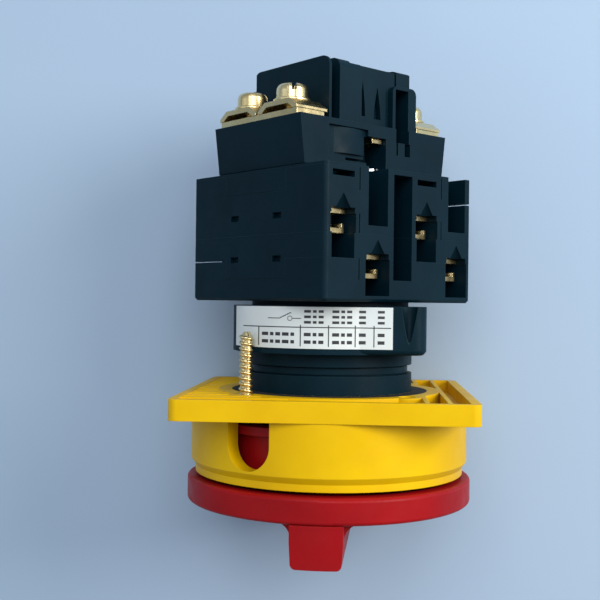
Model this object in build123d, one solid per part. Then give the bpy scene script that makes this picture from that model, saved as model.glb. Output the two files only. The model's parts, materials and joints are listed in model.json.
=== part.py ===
from build123d import *
import math
import os

# Rotary isolator switch, panel mounting, in millimetres.
# It is drawn in the shaft frame: Z runs along the shaft towards the rear, zero is the back
# plane of the front plate, and the handle lies on the negative side.  write() turns each
# finished piece so that the shaft lies along +Y and the padlock side faces +Z.
# Pieces of the contact block are drawn square to the axes and turned by block_turn.

# ---------------------------------------------------------------- clearances
fit = 0.05          # running and seating clearance, each side
gap = 0.3           # clearance between moving pieces that do not touch
play = 0.2          # loose clearance between fixed pieces
past = 1.0          # a cutter runs this far beyond the face it opens
far = 99.0          # a cutter that runs right through

# ---------------------------------------------------------------- front plate and lock ring
plate_size = 66.0
plate_thickness = 4.6
plate_corner = 2.0
plate_skin = 1.6
plate_wall = 1.8
collar_width = 3.2
rib_thickness = 1.0
rib_pitch = 4.0
rib_end = 0.25          # the bay ribs stop at this share of the half width
cross_rib_pitch = 4.8
fixing_pitch = 36.0
fixing_hole_r = 1.9
boss_r = 3.7
ring_inset = 0.15       # the ring stands this far inside the plate's straight sides
ring_radius = plate_size / 2 - ring_inset
ring_wall = 3.6
ring_depth = 14.5
ring_band_depth = 1.6
ring_step_depth = 1.4
ring_step = 1.0
lock_openings = 3
lock_width = 11.0
lock_depth = 11.0
lock_overrun = 1.5      # the opening's cutter runs this far past both faces of the wall

# ---------------------------------------------------------------- handle and locking drum
handle_overhang = 0.85  # the handle stands this far outside the ring
handle_radius = ring_radius + handle_overhang
handle_rim = 5.8
handle_edge_r = 0.8
handle_wall = 4.0       # round the hollow behind the disc
handle_skin = 2.4
hub_shoulder = 3.0      # solid left round the hub
handle_gap = 0.9
handle_turn = -2.0      # degrees of play of the handle on the shaft
grip_width = 11.4
grip_height = 9.2
grip_flare = 3.6
grip_draft = 0.25       # taper of each side
grip_top_r = 1.2
grip_end_inset = 2.5    # the flare stops this far inside the disc
hub_r = 9.0
hub_length = 11.0
hub_root = 0.5
socket_roof = 3.6       # solid in front of the shaft socket
drum_clearance = 0.55   # between the drum's flange and the inside of the ring
drum_step = 2.2         # the flange stands this far outside the drum
drum_flange = ring_radius - ring_wall - drum_clearance
drum_radius = drum_flange - drum_step
drum_wall = 2.4
drum_web = 2.0
drum_flange_depth = 1.9

# ---------------------------------------------------------------- shaft and screws
shaft_size = 7.0
shaft_chamfer = 0.4
shaft_tail = 2.0        # the shaft ends this far inside the block
shaft_tap = 13.0        # depth of its tapped hole from the handle's front
socket_corner_r = (shaft_size + 2 * fit) / math.sqrt(2)
journal_wall = 1.48     # left outside the socket's corners in the front journal
journal_r = socket_corner_r + journal_wall
hub_wall = 0.8          # the same in the rear journal and the cam spacer
rear_journal_r = socket_corner_r + hub_wall
handle_screw_r = 2.0
handle_screw_head_r = 3.6
handle_screw_head_height = 2.6
handle_screw_length = 10.5
handle_screw_seat = 1.8 # depth of its seat in the handle
handle_screw_well = 0.4 # room round its head
cross_width = 1.0
cross_depth = 1.2
plate_screw_r = 1.73          # outside of the thread
plate_screw_neck_r = 1.5      # plain shank inside the plate
plate_screw_lead_r = 1.6      # tapering end beyond the full thread
plate_screw_full = 9.0        # length of full thread behind the plate
plate_screw_reach = 14.0
plate_screw_point = 0.6       # share of the taper's radius left at the point
plate_screw_slot = (1.0, 0.9) # width and depth of the driver slot
plate_screw_head_r = 3.3
plate_screw_head_height = 1.7

# ---------------------------------------------------------------- neck, seals and index housing
neck_radius = 19.7
gasket_width = 3.65
gasket_radius = neck_radius + gasket_width
gasket_thickness = 0.9
neck_length = 9.3
neck_wall = 2.4
neck_band = (4.45, 6.2)
neck_band_depth = 1.0
neck_line = (0.5, 0.3)  # depth and width of the fine line at each edge of the band
neck_web = 2.0
spigot_r = 12.9
spigot_length = 3.2     # in front of the plate's face
spigot_root = 1.0
bearing_wall = 3.0
seal_share = 0.7        # of the bearing wall that the seal's seat takes
seal_depth = 2.0
seal_play = 0.1
clip_thickness = 0.9
clip_grip = 1.0         # depth of the clip's groove in the spigot
clip_rim = 2.6
clip_mouth = 8.0
housing_radius = 23.2
housing_length = 10.7
housing_wall = 2.4
housing_floor = 2.0
housing_bore_gap = 1.0  # round the bearing
lug_reach = 22.0
lug_root = 3.0
lug_corner = 3.0
lug_edge_r = 1.2
lug_hollow_at = (18.2, 21.3)
lug_hollow_r = 1.9
lug_hollow_tip_r = 0.5
lug_hollow_floor = 1.6
label_thickness = 0.2
label_height = 9.2
label_lift = 1.3        # above the housing's front
label_reach = 60.0      # outside everything the nameplate is cut from
label_from = 203.0      # degrees, where the nameplate starts on the far left
label_end = 14.6        # where it ends along the lug's near face
index_flat = 8.0
index_corner_r = 9.4
index_height = 3.8
index_lift = 0.2        # above the housing's floor
index_root = 0.5        # the journal runs this far into the cam
leaf_thickness = 0.5
leaf_length = 25.0
leaf_inset = 0.1
holder_end = (1.5, 1.2)     # spring holder either side of the spring's end
holder_side = (1.6, 2.6)    # and either side of the cam's flat
holder_sink = 0.5
stop_radius = 15.0
stop_thickness = 2.0
stop_pin_r = 1.5
stop_pin_circle = 13.2
stop_steps = 4          # corners of the notch's outer edge
stop_hub = 2.0
stop_hub_rise = 0.6
turn_range = 90.0
adapter_radius = 18.8
adapter_height = 1.0
adapter_plug = 1.6
adapter_bore = 3.0      # room round the journal

# ---------------------------------------------------------------- contact block
block_turn = 45.0
block_size = 47.3
block_corner = 1.1
block_chamfer = 0.6
base_height = 9.3
base_floor = 3.0
base_cavity_inset = 1.0
base_slot = 4.5         # depth of the centre slot in the base
base_groove = 4.6
base_relief = (9.0, 0.2, 0.3)   # shallow step at one corner: length, margin and depth
stage_pitch = 9.5
seam_height = 5.4
stage_2_height = 14.2
tongue_half = 10.8
tongue_drop = 4.4
tongue_thickness = 1.8
tongue_root = 1.0
floor_thickness = 1.3
terminal_near = 7.9     # offset of the inner terminal column
terminal_far = 18.4     # offset of the outer terminal column
terminal_depth = 17.8   # from the shaft to the terminal screws
terminal_reach = 3.0    # from the terminal screw to the end of its strip
entry_width = 7.5
entry_inner = 11.8
entry_taper = 0.8       # the entries of the second stage narrow by this on their way through
light_entry = (1.0, 2.3, 1.0)   # narrowing, and levels below the back of the block
strip_above_entry = 1.2
strip_thickness = 1.1
strip_width = 6.6
strip_seat = 0.3        # wider than the strip
clamp_drop = 4.2
clamp_thickness = 1.1
clamp_edge = 0.7
clamp_rise = 1.0
clamp_margin = (0.3, 0.2)   # inside the strip, across and along
terminal_screw_r = 1.5
terminal_head_r = 2.7
terminal_head_height = 2.2
terminal_slot = (0.8, 1.0)  # width and depth of the driver slot
terminal_turn = (25, 40)    # degrees, so the slots do not line up
terminal_screw_end = 1.0    # beyond the clamp
driver_bore_r = 2.85
bore_relief = 0.4       # wider than the bore
bore_floor = 1.9
funnel_height = 4.2
funnel_r = 2.9
funnel_tip_r = 0.1
slot_width = 6.0
slot_depth = 8.5
slot_roof = 0.6
groove_width = 0.3
groove_depth = 0.35
groove_places = (-13.6, 12.9)
groove_heights = (4.2, 4.9)     # above the seam and below the back
shaft_room = 2.0        # round the journal in each chamber
chamber_roof = 0.6
rib_inner = 9.6
rib_outer = 12.2
rib_width = 1.4
rib_sink = 0.5
rib_rise = 3.0
light_slit = (16.0, -8.0, 5.6, 5.2)     # inner end, near end, and levels below the back
cavity_half_x = 21.0
cavity_half_y = 10.2
cam_wall = 0.98
cam_low_r = socket_corner_r + cam_wall
cam_lead = 1.27         # lift in millimetres per radian
cam_dwell = 25.0        # degrees of constant radius at each end of a flank
cam_height = 4.2
cam_sink = 0.7          # below the contact strips
cam_steps = 90
cam_end_play = 0.2
tab_inner = 13.0
tab_thickness = 1.0
tab_near = 4.0
tab_reach = 2.0         # from the low radius of the cam to the far edge of a tab
tab_far = cam_low_r + tab_reach
tab_rise = 3.1
leg_extra = 2.0
leg_overlap = 1.0
contact_gap = 0.02      # between a closed bridge and its tabs
bridge_thickness = 1.0
bridge_half = 8.6
bridge_height = 2.8
button_r = 0.9
button_height = 0.6
plunger_half = 2.4
plunger_tip_r = 0.9
plunger_shoulder = 3.2
spring_radius = 1.9
spring_wire = 0.5
spring_turns = 5
spring_play = 0.05
tie_offset = 12.0
tie_r = 1.5
tie_head_r = 2.8
tie_head_height = 1.8
tie_slot = (0.8, 0.8)   # width and depth of the driver slot
arrow_lift = 1.0
arrow_half = 0.95
arrow_length = 1.15
arrow_thickness = 0.15
arrow_inset = 0.3
cover_lip = 0.5
cover_plug = 1.0
window_places = (-7.3, 7.9)     # along each plain face
window_width = 3.0
window_height = 1.4
window_depth = 1.2

# ---------------------------------------------------------------- rear terminal unit
carrier_height = 11.2
carrier_half_x = 23.6
carrier_half_y = 15.4
carrier_taper = 1.4
carrier_chamfer = 0.5
carrier_bearing_room = (1.0, 0.8)   # round and behind the rear journal
carrier_bore = 8.5
# recesses in the carrier's near face: across, depth, height above its foot
carrier_recesses = (
    ((-3.6, 2.8), 7.0, (-past, carrier_height - 2.8)),      # middle recess
    ((-10.2, -3.6), 3.0, (2.2, 3.0)),                       # slit under the pad
    ((-15.2, -3.0), 1.0, (3.0, carrier_height - 1.4)),      # field round the pad
    ((6.3, 6.9), 3.0, (5.0, 8.0)),                          # narrow slot
    ((9.1, 11.0), 3.0, (5.0, 8.0)),                         # wide slot
    ((6.2, 10.6), 8.0, (8.0, carrier_height + past)),       # notch under the hood
)
pad_radius = 12.0       # rounded pad in that field
pad_x = -8.0
pad_limits = (-12.9, -3.6)
pad_depth = 1.5
pad_lift = 1.1
pad_margin = 5.4
tower_half = 13.5
tower_height = 14.6
tower_corner = 2.5
# recesses in the tower's near face, in the same order
tower_recesses = (
    ((-tower_half + 0.7, -10.3), 6.0, (-past, tower_height + past)),    # slot beside the rib
    ((-3.4, tower_half + past), 0.9, (-past, tower_height + past)),     # sunk field
    ((-6.6, 8.3), 9.0, (tower_height - 0.8, tower_height + past)),      # step in the top
    ((8.3, 8.9), 3.0, (9.0, tower_height + past)),                      # fine slot
)
# teardrop marks on the sunk field: place, foot, half width, tip
teardrops = ((-2.2, 2.3, 0.9, 10.4), (2.6, 2.1, 1.2, 9.9))
teardrop_shoulder = (0.8, 0.35)     # share of the width, at this share of the height
teardrop_depth = 2.5
teardrop_cutter = 4.0
hood_x = (6.0, 14.0)
hood_reach = (0.9, 1.2)     # in front of the tower's face and behind it
hood_height = 10.4
hood_corner = 1.6
mouth_x = (6.9, 11.3)
mouth_depth = 7.5
mouth_height = 9.6
link_thickness = 1.4
link_inner = 15.1
link_outer = 23.1
link_half = 13.6
link_screw_x = 18.9
link_screw_y = 7.1
link_screw_r = 2.0
link_screw_reach = 7.5  # behind the carrier's top
link_slot = (1.1, 1.6)  # width and depth of the driver slot
link_cross_half = 1.9
link_turn = 35
link_flange_r = 4.15
link_flange_height = 0.8
link_head_r = 3.55
link_head_height = 3.2
link_head_round = 1.0
clamp_size = 9.0
clamp_lift = 2.3
saddle_plate = 1.1      # thickness
saddle_inset = 0.4
saddle_foot = (1.2, 0.6)    # length and height of each turned-down end
saddle_bend = (3.0, 2.4)    # where the inside and the outside of the bend reach full height
nut_across_flats = 7.0
nut_height = 3.2
inner_contact_x = (-0.6, 2.6)
inner_contact_y = (1.2, 6.9)    # behind the carrier's near face
inner_contact_level = (3.9, 2.9)    # below the carrier's back

# ---------------------------------------------------------------- levels along the shaft
spigot_front = -plate_thickness - spigot_length
ring_front = -plate_thickness - ring_depth
handle_back = ring_front - handle_gap
handle_front = handle_back - handle_rim
grip_front = handle_front - grip_height
housing_inside = neck_length + housing_floor
index_level = housing_inside + index_lift
housing_back = neck_length + housing_length
block_front = housing_back + adapter_height
base_back = block_front + base_height
seam = base_back + seam_height
block_back = seam + stage_2_height
cover_back = block_back + cover_lip
carrier_back = cover_back + carrier_height
tower_back = carrier_back + tower_height
entry_tops = (base_back, base_back + stage_pitch)
strip_tops = [top + strip_above_entry for top in entry_tops]
half = block_size / 2
sides = (-1, 1)


# ---------------------------------------------------------------- helpers
def span(x, y, z):
    """Box between three pairs of limits."""
    size = [abs(pair[1] - pair[0]) for pair in (x, y, z)]
    middle = [(pair[1] + pair[0]) / 2 for pair in (x, y, z)]
    return Pos(*middle) * Box(*size)


def disc(radius, low, high):
    """Round disc on the shaft axis."""
    return Pos(0, 0, (low + high) / 2) * Cylinder(radius, high - low)


def tube(outer, inner, low, high):
    """Round tube on the shaft axis."""
    return disc(outer, low, high) - disc(inner, low - past, high + past)


def at(x, y, shape):
    """Move a shape sideways."""
    return Pos(x, y, 0) * shape


def mirrored(x, side):
    """Pair of limits, mirrored for side -1 and kept in rising order."""
    return (x[0], x[1]) if side > 0 else (-x[1], -x[0])


def square_bar(size, low, high):
    """Square bar on the shaft axis."""
    return span((-size / 2, size / 2), (-size / 2, size / 2), (low, high))


def on_circle(radius, angle):
    """Point on a circle round the shaft."""
    return radius * math.cos(math.radians(angle)), radius * math.sin(math.radians(angle))


def write(name, shapes):
    """Turn the shapes into the row frame and save them as one node."""
    placed = []
    for shape in shapes:
        for solid in (Rot(-90, 0, 0) * shape).solids():
            placed.append(solid)
    whole = placed[0] if len(placed) == 1 else Compound(placed)
    export_step(whole, "parts/" + name + ".step")


def write_block(name, shapes):
    """Save shapes that are drawn square to the contact block."""
    write(name, [Rot(0, 0, block_turn) * shape for shape in shapes])


# ---------------------------------------------------------------- front plate
def lock_cutter(radius, wall, angle):
    """Round-ended opening through a wall, flat at the plate."""
    top = -plate_thickness
    bottom = top - lock_depth
    centre = bottom + lock_width / 2
    inner = radius - wall - lock_overrun
    outer = radius + lock_overrun
    straight = span((inner, outer), (-lock_width / 2, lock_width / 2), (centre, top))
    end = Pos((inner + outer) / 2, 0, centre) * Rot(0, 90, 0) * Cylinder(lock_width / 2, outer - inner)
    return Rot(0, 0, angle) * (straight + end)


def plate_pockets():
    """Hollows in the plate's back: long ribbed bays at the sides, boxes at the corners."""
    edge = plate_size / 2 - plate_wall
    hollow = span((-edge, edge), (-edge, edge), (-plate_thickness + plate_skin, past))
    hollow -= disc(gasket_radius + collar_width, -plate_thickness, past)
    for turn in range(4):
        x, y = on_circle(fixing_pitch / math.sqrt(2), 45 + 90 * turn)
        hollow -= at(x, y, disc(boss_r, -plate_thickness, past))
    count = int(edge // rib_pitch)
    for index in range(-count, count + 1):
        y = (index + 1 / 2) * rib_pitch
        if y + rib_thickness / 2 < edge:
            hollow -= span((-edge, -edge * rib_end), (y - rib_thickness / 2, y + rib_thickness / 2),
                           (-plate_thickness, past))
    for index in (-1, 0, 1):
        x = gasket_radius + collar_width + index * cross_rib_pitch
        hollow -= span((x - rib_thickness / 2, x + rib_thickness / 2), (-edge, edge),
                       (-plate_thickness, past))
    return hollow


def front_plate():
    """Square plate and lock ring in one moulding."""
    outline = RectangleRounded(plate_size, plate_size, plate_corner)
    plate = Pos(0, 0, -plate_thickness) * extrude(outline, plate_thickness)
    plate -= plate_pockets()
    step_back = ring_front + ring_band_depth + ring_step_depth
    inner = ring_radius - ring_wall
    ring = tube(ring_radius, inner, step_back, -plate_thickness + plate_skin / 2)
    slope = Pos(0, 0, step_back - ring_step_depth / 2) * Cone(
        ring_radius - ring_step, ring_radius, ring_step_depth)
    ring += slope - disc(inner, step_back - ring_step_depth, step_back)
    ring += tube(ring_radius - ring_step, inner, ring_front, ring_front + ring_band_depth)
    body = plate + ring
    for index in range(lock_openings):
        body -= lock_cutter(ring_radius, ring_wall, 360 / lock_openings * index)
    body -= disc(spigot_r + fit, -plate_thickness - past, past)
    body -= tube(gasket_radius + fit, neck_radius, -gasket_thickness, past)
    for turn in range(4):
        x, y = on_circle(fixing_pitch / math.sqrt(2), 45 + 90 * turn)
        body -= at(x, y, disc(fixing_hole_r, -plate_thickness - past, past))
    return body


def plate_screw():
    """Self-tapping screw, its thread drawn as a plain stud of the thread's outside radius."""
    screw = disc(plate_screw_neck_r, -plate_thickness, 0)
    screw += disc(plate_screw_r, 0, plate_screw_full)
    taper = plate_screw_reach - plate_screw_full
    screw += Pos(0, 0, plate_screw_full + taper / 2) * Cone(
        plate_screw_lead_r, plate_screw_lead_r * plate_screw_point, taper)
    top = -plate_thickness - plate_screw_head_height
    head = disc(plate_screw_head_r, top, -plate_thickness)
    width, depth = plate_screw_slot
    head -= span((-width / 2, width / 2), (-plate_screw_head_r, plate_screw_head_r),
                 (top - past, top + depth))
    return screw + head


def plate_screws():
    """Two screws on one diagonal of the fixing pattern."""
    reach = fixing_pitch / 2
    return [at(-reach, -reach, plate_screw()), at(reach, reach, plate_screw())]


# ---------------------------------------------------------------- handle group
def locking_drum():
    """Drum inside the ring; its windows meet the ring's openings when the handle is off."""
    back = -plate_thickness - plate_screw_head_height - gap
    drum = tube(drum_radius, drum_radius - drum_wall, handle_back, back)
    drum += tube(drum_flange, drum_radius - drum_wall, back - drum_flange_depth, back)
    drum += tube(drum_radius, hub_r + fit, handle_back, handle_back + drum_web)
    for index in range(lock_openings):
        angle = 360 / lock_openings * index + turn_range
        drum -= lock_cutter(drum_flange, drum_step + drum_wall, angle)
    return drum


def grip_profile(half_width, height, flare):
    """Section of the grip, with a hollow flare at each side of its root."""
    lines = Line((0, 0), (half_width + flare, 0))
    lines += RadiusArc((half_width + flare, 0), (half_width, flare), flare)
    lines += Line((half_width, flare), (half_width - grip_draft, height - grip_top_r))
    corner = half_width - grip_draft - grip_top_r
    lines += RadiusArc((half_width - grip_draft, height - grip_top_r), (corner, height), -grip_top_r)
    lines += Line((corner, height), (0, height))
    lines += Line((0, height), (0, 0))
    return make_face(lines)


def handle():
    """Disc with a grip across it and a hub behind it."""
    rim = disc(handle_radius, handle_front, handle_back)
    rim = fillet(rim.edges().filter_by(GeomType.CIRCLE), handle_edge_r)
    rim -= tube(handle_radius - handle_wall, hub_r + hub_shoulder,
                handle_front + handle_skin, handle_back + past)
    grip_half = grip_profile(grip_width / 2, grip_height, grip_flare)
    grip_half += mirror(grip_half, Plane.YZ)
    grip = Rot(90, 0, 0) * Pos(0, 0, -handle_radius) * extrude(grip_half, 2 * handle_radius)
    grip = Pos(0, 0, handle_front) * Rot(0, 180, 0) * grip
    ends = tube(far, handle_radius - grip_end_inset, grip_front - past, handle_front)
    sleeve = span((-grip_width / 2, grip_width / 2), (-far, far), (grip_front - past, handle_front + past))
    grip -= ends - sleeve
    grip &= disc(handle_radius, grip_front - past, handle_front + past)
    hub = disc(hub_r, handle_front + hub_root, handle_back + hub_length)
    body = rim + grip + hub
    play = math.radians(abs(handle_turn))
    socket = shaft_size * (math.cos(play) + math.sin(play)) + 2 * fit
    body -= square_bar(socket, handle_front + socket_roof, handle_back + hub_length + past)
    body -= disc(handle_screw_r + fit, grip_front - past, handle_back)
    body -= disc(handle_screw_head_r + handle_screw_well, grip_front - past, handle_front + handle_screw_seat)
    return Rot(0, 0, handle_turn) * body


def handle_screw():
    """Pan-head screw that draws the handle onto the shaft."""
    seat = handle_front + handle_screw_seat
    top = seat - handle_screw_head_height
    screw = disc(handle_screw_head_r, top, seat)
    screw += disc(handle_screw_r, seat, seat + handle_screw_length)
    across = (-cross_width / 2, cross_width / 2)
    screw -= span(across, (-far, far), (top - past, top + cross_depth))
    screw -= span((-far, far), across, (top - past, top + cross_depth))
    return screw


def shaft():
    """Square shaft through the neck, the index unit and both contact cams."""
    low = handle_front + socket_roof + seal_play
    bar = square_bar(shaft_size, low, block_back - shaft_tail)
    bar = chamfer(bar.edges().filter_by(Axis.Z), shaft_chamfer)
    return bar - disc(handle_screw_r, low - past, handle_front + shaft_tap)


# ---------------------------------------------------------------- neck and index unit
def gasket():
    """Flat rubber ring, seated flush in the plate's back as it lies when a panel squeezes it."""
    return tube(gasket_radius, neck_radius + fit, -gasket_thickness, 0)


def neck():
    """Sleeve through the panel, with a spigot for the plate and the shaft bearing."""
    body = tube(neck_radius, neck_radius - neck_wall, 0, neck_length)
    body -= tube(neck_radius + past, neck_radius - neck_band_depth, *neck_band)
    depth, width = neck_line
    for edge in neck_band:
        body -= tube(neck_radius + past, neck_radius - neck_band_depth - depth,
                     edge - width / 2, edge + width / 2)
    body += tube(neck_radius - neck_wall / 2, journal_r + fit, 0, neck_web)
    body += tube(spigot_r, journal_r + fit, spigot_front, spigot_root)
    body += tube(journal_r + bearing_wall, journal_r + fit, spigot_root, neck_length)
    body -= disc(journal_r + bearing_wall * seal_share, spigot_front - past, spigot_front + seal_depth)
    body -= tube(spigot_r + past, spigot_r - clip_grip, -plate_thickness - clip_thickness - fit,
                 -plate_thickness)
    return body


def clip():
    """Spring clip that holds the plate on the spigot."""
    ring = tube(spigot_r + clip_rim, spigot_r - clip_grip + fit, -plate_thickness - clip_thickness,
                -plate_thickness)
    return ring - span((0, far), (-clip_mouth / 2, clip_mouth / 2), (-far, far))


def shaft_seal():
    """Rubber ring in the front of the bearing."""
    outer = journal_r + bearing_wall * seal_share
    return tube(outer, journal_r + fit, spigot_front + seal_play, spigot_front + seal_depth)


def housing_lugs():
    """Square corner lugs, near right and far left."""
    box = span((lug_root, lug_reach), (-lug_reach, -lug_root), (neck_length, housing_back))
    corner = box.edges().filter_by(Axis.Z).sort_by(lambda edge: edge.center().length)[-1]
    box = fillet(corner, lug_corner)
    lower = box.faces().sort_by(Axis.Z)[0].edges().sort_by(lambda edge: edge.center().length)[-1]
    box = fillet(lower, lug_edge_r)
    return box + Rot(0, 0, 180) * box


def lug_hollows():
    """Tapering hollows in the lugs, open to the rear and through the near face."""
    x, y = lug_hollow_at
    depth = housing_length - lug_hollow_floor
    cone = Pos(x, -y, housing_back - depth / 2) * Cone(lug_hollow_tip_r, lug_hollow_r, depth)
    return cone + Rot(0, 0, 180) * cone


def index_housing():
    """Round housing of the index unit."""
    inner = housing_radius - housing_wall
    body = disc(housing_radius, neck_length, housing_back)
    body += housing_lugs()
    body -= disc(inner, housing_inside, housing_back + past)
    bore = journal_r + bearing_wall + housing_bore_gap
    body -= disc(bore, neck_length - past, housing_inside + past)
    body -= lug_hollows()
    low = housing_inside
    end = leaf_length / 2
    for x_side in sides:
        for y_side in sides:
            holder = span(mirrored((end - holder_end[0], end + holder_end[1]), x_side),
                          mirrored((index_flat - holder_side[0], index_flat + holder_side[1]), y_side),
                          (low - holder_sink, low + index_height))
            slit = span(mirrored((0, end + fit), x_side),
                        mirrored((index_flat + fit, index_flat + 3 * fit + leaf_thickness), y_side),
                        (low, low + index_height + past))
            body += holder - slit
    return body


def label():
    """Thin nameplate: round the housing, then straight along the near face of the lug."""
    low = neck_length + label_lift
    inner = housing_radius
    outer = inner + label_thickness
    ring = tube(outer, inner, low, low + label_height)
    reach = label_reach
    wedge = make_face(Polyline((0, 0), on_circle(reach, label_from), (-reach, -reach / 2),
                               (0, -reach), (0, 0)))
    body = ring & extrude(Pos(0, 0, low) * wedge, label_height)
    meet = math.sqrt(inner * inner - lug_reach * lug_reach)
    round_end = ring & span((0, meet), (-reach, 0), (low, low + label_height))
    straight = span((meet, label_end), (-lug_reach - label_thickness, -lug_reach),
                    (low, low + label_height))
    return body + round_end + straight


def index_cam():
    """Four-flat cam with the long journal that turns in the neck."""
    low = index_level
    square = 2 * index_flat
    cam = square_bar(square, low, low + index_height - 2 * index_lift)
    cam &= disc(index_corner_r, low, low + index_height)
    cam += disc(journal_r, spigot_front, low + index_root)
    return cam - square_bar(shaft_size + 2 * fit, -far, far)


def leaf_springs():
    """Two flat springs that bear on the flats of the index cam."""
    low = housing_inside + leaf_inset
    high = housing_inside + index_height - index_lift
    springs = []
    for side in sides:
        springs.append(span((-leaf_length / 2, leaf_length / 2),
                            mirrored((index_flat + fit, index_flat + fit + leaf_thickness), side),
                            (low, high)))
    return springs


def stop_disc():
    """Disc with a notch that lets the stop pin pass through the handle's travel."""
    low = index_level + index_height
    high = low + stop_thickness
    body = disc(stop_radius, low, high)
    margin = math.degrees(math.asin((stop_pin_r + fit) / stop_pin_circle))
    first = -margin
    last = turn_range + margin
    points = [(0, 0)]
    points += [on_circle(far, first + (last - first) * step / stop_steps) for step in range(stop_steps + 1)]
    outline = make_face(Polyline(*points, (0, 0)))
    notch = Pos(0, 0, low - past) * extrude(outline, stop_thickness + 2 * past)
    notch -= disc(stop_pin_circle - stop_pin_r - fit, low - 2 * past, high + 2 * past)
    body -= notch
    body += disc(journal_r + stop_hub, low, high + stop_hub_rise)
    return body - square_bar(shaft_size + 2 * fit, low - past, high + far)


def stop_pin():
    """Fixed pin in the housing that ends the handle's travel both ways."""
    pin = disc(stop_pin_r, housing_inside, index_level + index_height + stop_thickness)
    return at(stop_pin_circle, 0, pin)


def adapter_plate():
    """Lid of the index housing, which carries the contact block."""
    inner = housing_radius - housing_wall - fit
    body = disc(inner, housing_back - adapter_plug, housing_back)
    body += disc(adapter_radius, housing_back, block_front)
    return body - disc(journal_r + adapter_bore, housing_back - adapter_plug - past, block_front + past)


# ---------------------------------------------------------------- contact block mouldings
def terminals(stage):
    """Column offsets of a stage; the second stage is the first one turned end for end."""
    return (-terminal_near, terminal_far) if stage == 0 else (-terminal_far, terminal_near)


def square_prism(low, high):
    """Outer shape of the block between two levels."""
    return Pos(0, 0, low) * extrude(RectangleRounded(block_size, block_size, block_corner),
                                    high - low)


def entry_cut(x, width, low, high, inner):
    """Wire entry through both wire faces."""
    cut = span((x - width / 2, x + width / 2), (inner, half + past), (low, high))
    return cut + mirror(cut, Plane.XZ)


def funnel_cut(x, low):
    """Half cone that leads a screwdriver or a bare end in from the face."""
    cone = Pos(x, -half, low + funnel_height / 2) * Cone(funnel_r, funnel_tip_r, funnel_height)
    return cone + mirror(cone, Plane.XZ)


def driver_bore(x, low, high):
    """Round bore over a terminal screw."""
    bore = at(x, -terminal_depth, disc(driver_bore_r, low, high))
    return bore + mirror(bore, Plane.XZ)


def centre_slot(low, high):
    """Deep slot down the middle of each wire face."""
    return entry_cut(0, slot_width, low, high, half - slot_depth)


def tie_holes(low, high):
    """Holes for the two tie bolts."""
    hole = at(0, tie_offset, disc(tie_r + fit, low, high))
    return hole + mirror(hole, Plane.XZ)


def face_groove(x, low, high):
    """Fine parting line on the near wire face."""
    line = span((x - groove_width / 2, x + groove_width / 2), (half - groove_depth, half + past),
                (low, high))
    return line + mirror(line, Plane.XZ)


def face_windows(level):
    """Four small windows, two on each plain face, at one level."""
    low = level - window_height / 2
    cuts = None
    for y in window_places:
        window = span((half - window_depth, half + past), (y - window_width / 2, y + window_width / 2),
                      (low, low + window_height))
        window += Rot(0, 0, 180) * window
        cuts = window if cuts is None else cuts + window
    return cuts


def tongue_cut(low, high):
    """Recess for a neighbour's tongue on both plain faces."""
    wall = tongue_thickness + fit
    cut = span((half - wall, half + past), (-tongue_half - fit, tongue_half + fit), (low, high))
    return cut + mirror(cut, Plane.YZ)


def tongue(low, high):
    """Tongue on both plain faces."""
    body = span((half - tongue_thickness, half), (-tongue_half, tongue_half), (low, high))
    return body + mirror(body, Plane.YZ)


def base():
    """Front moulding of the block, with the wire entries of the first stage."""
    body = square_prism(block_front, base_back)
    body = chamfer(body.edges().group_by(Axis.Z)[0], block_chamfer)
    body -= tongue_cut(base_back - tongue_drop - fit, base_back + past)
    cavity = cavity_half_x - base_cavity_inset
    inside = block_front + base_floor
    body -= span((-cavity, cavity), (-cavity_half_y, cavity_half_y), (inside, base_back + past))
    body -= disc(journal_r + adapter_bore, block_front - past, inside + past)
    for x in terminals(0):
        body -= entry_cut(x, entry_width, block_front + floor_thickness, base_back + past, entry_inner)
    body -= centre_slot(base_back - base_slot, base_back + past)
    body -= tie_holes(block_front - past, base_back + past)
    body -= face_groove(groove_places[0], base_back - base_groove, base_back + past)
    length, margin, depth = base_relief
    corner = span((-half - past, -half + length), (tongue_half + margin, half + past),
                  (base_back - depth, base_back + past))
    return body - corner


def guide_ribs(low, high):
    """Ribs that guide the plungers of one stage."""
    ribs = None
    for x_side in sides:
        for y_side in sides:
            rib = span(mirrored((rib_inner, rib_outer), x_side),
                       mirrored((plunger_half + fit, plunger_half + rib_width), y_side), (low, high))
            ribs = rib if ribs is None else ribs + rib
    return ribs


def stage_1():
    """First chamber moulding."""
    body = square_prism(base_back, seam)
    body += tongue(base_back - tongue_drop, base_back + tongue_root)
    body -= span((-cavity_half_x, cavity_half_x), (-cavity_half_y, cavity_half_y),
                 (base_back - past, seam - chamber_roof))
    strip_top = strip_tops[0]
    for x in terminals(0):
        body -= entry_cut(x, strip_width + strip_seat, base_back - past, strip_top + fit,
                          tab_far - play)
        body -= funnel_cut(x, base_back)
        body -= driver_bore(x, base_back - past, seam + past)
    for x in terminals(1):
        body -= entry_cut(x, entry_width - entry_taper, base_back - past, seam + past, entry_inner)
    body -= centre_slot(base_back - past, seam + past)
    body -= tie_holes(base_back - past, seam + past)
    body -= disc(journal_r + shaft_room, base_back, seam + past)
    body -= face_windows(entry_tops[0])
    return body + guide_ribs(strip_top + gap, seam - gap)


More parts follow.
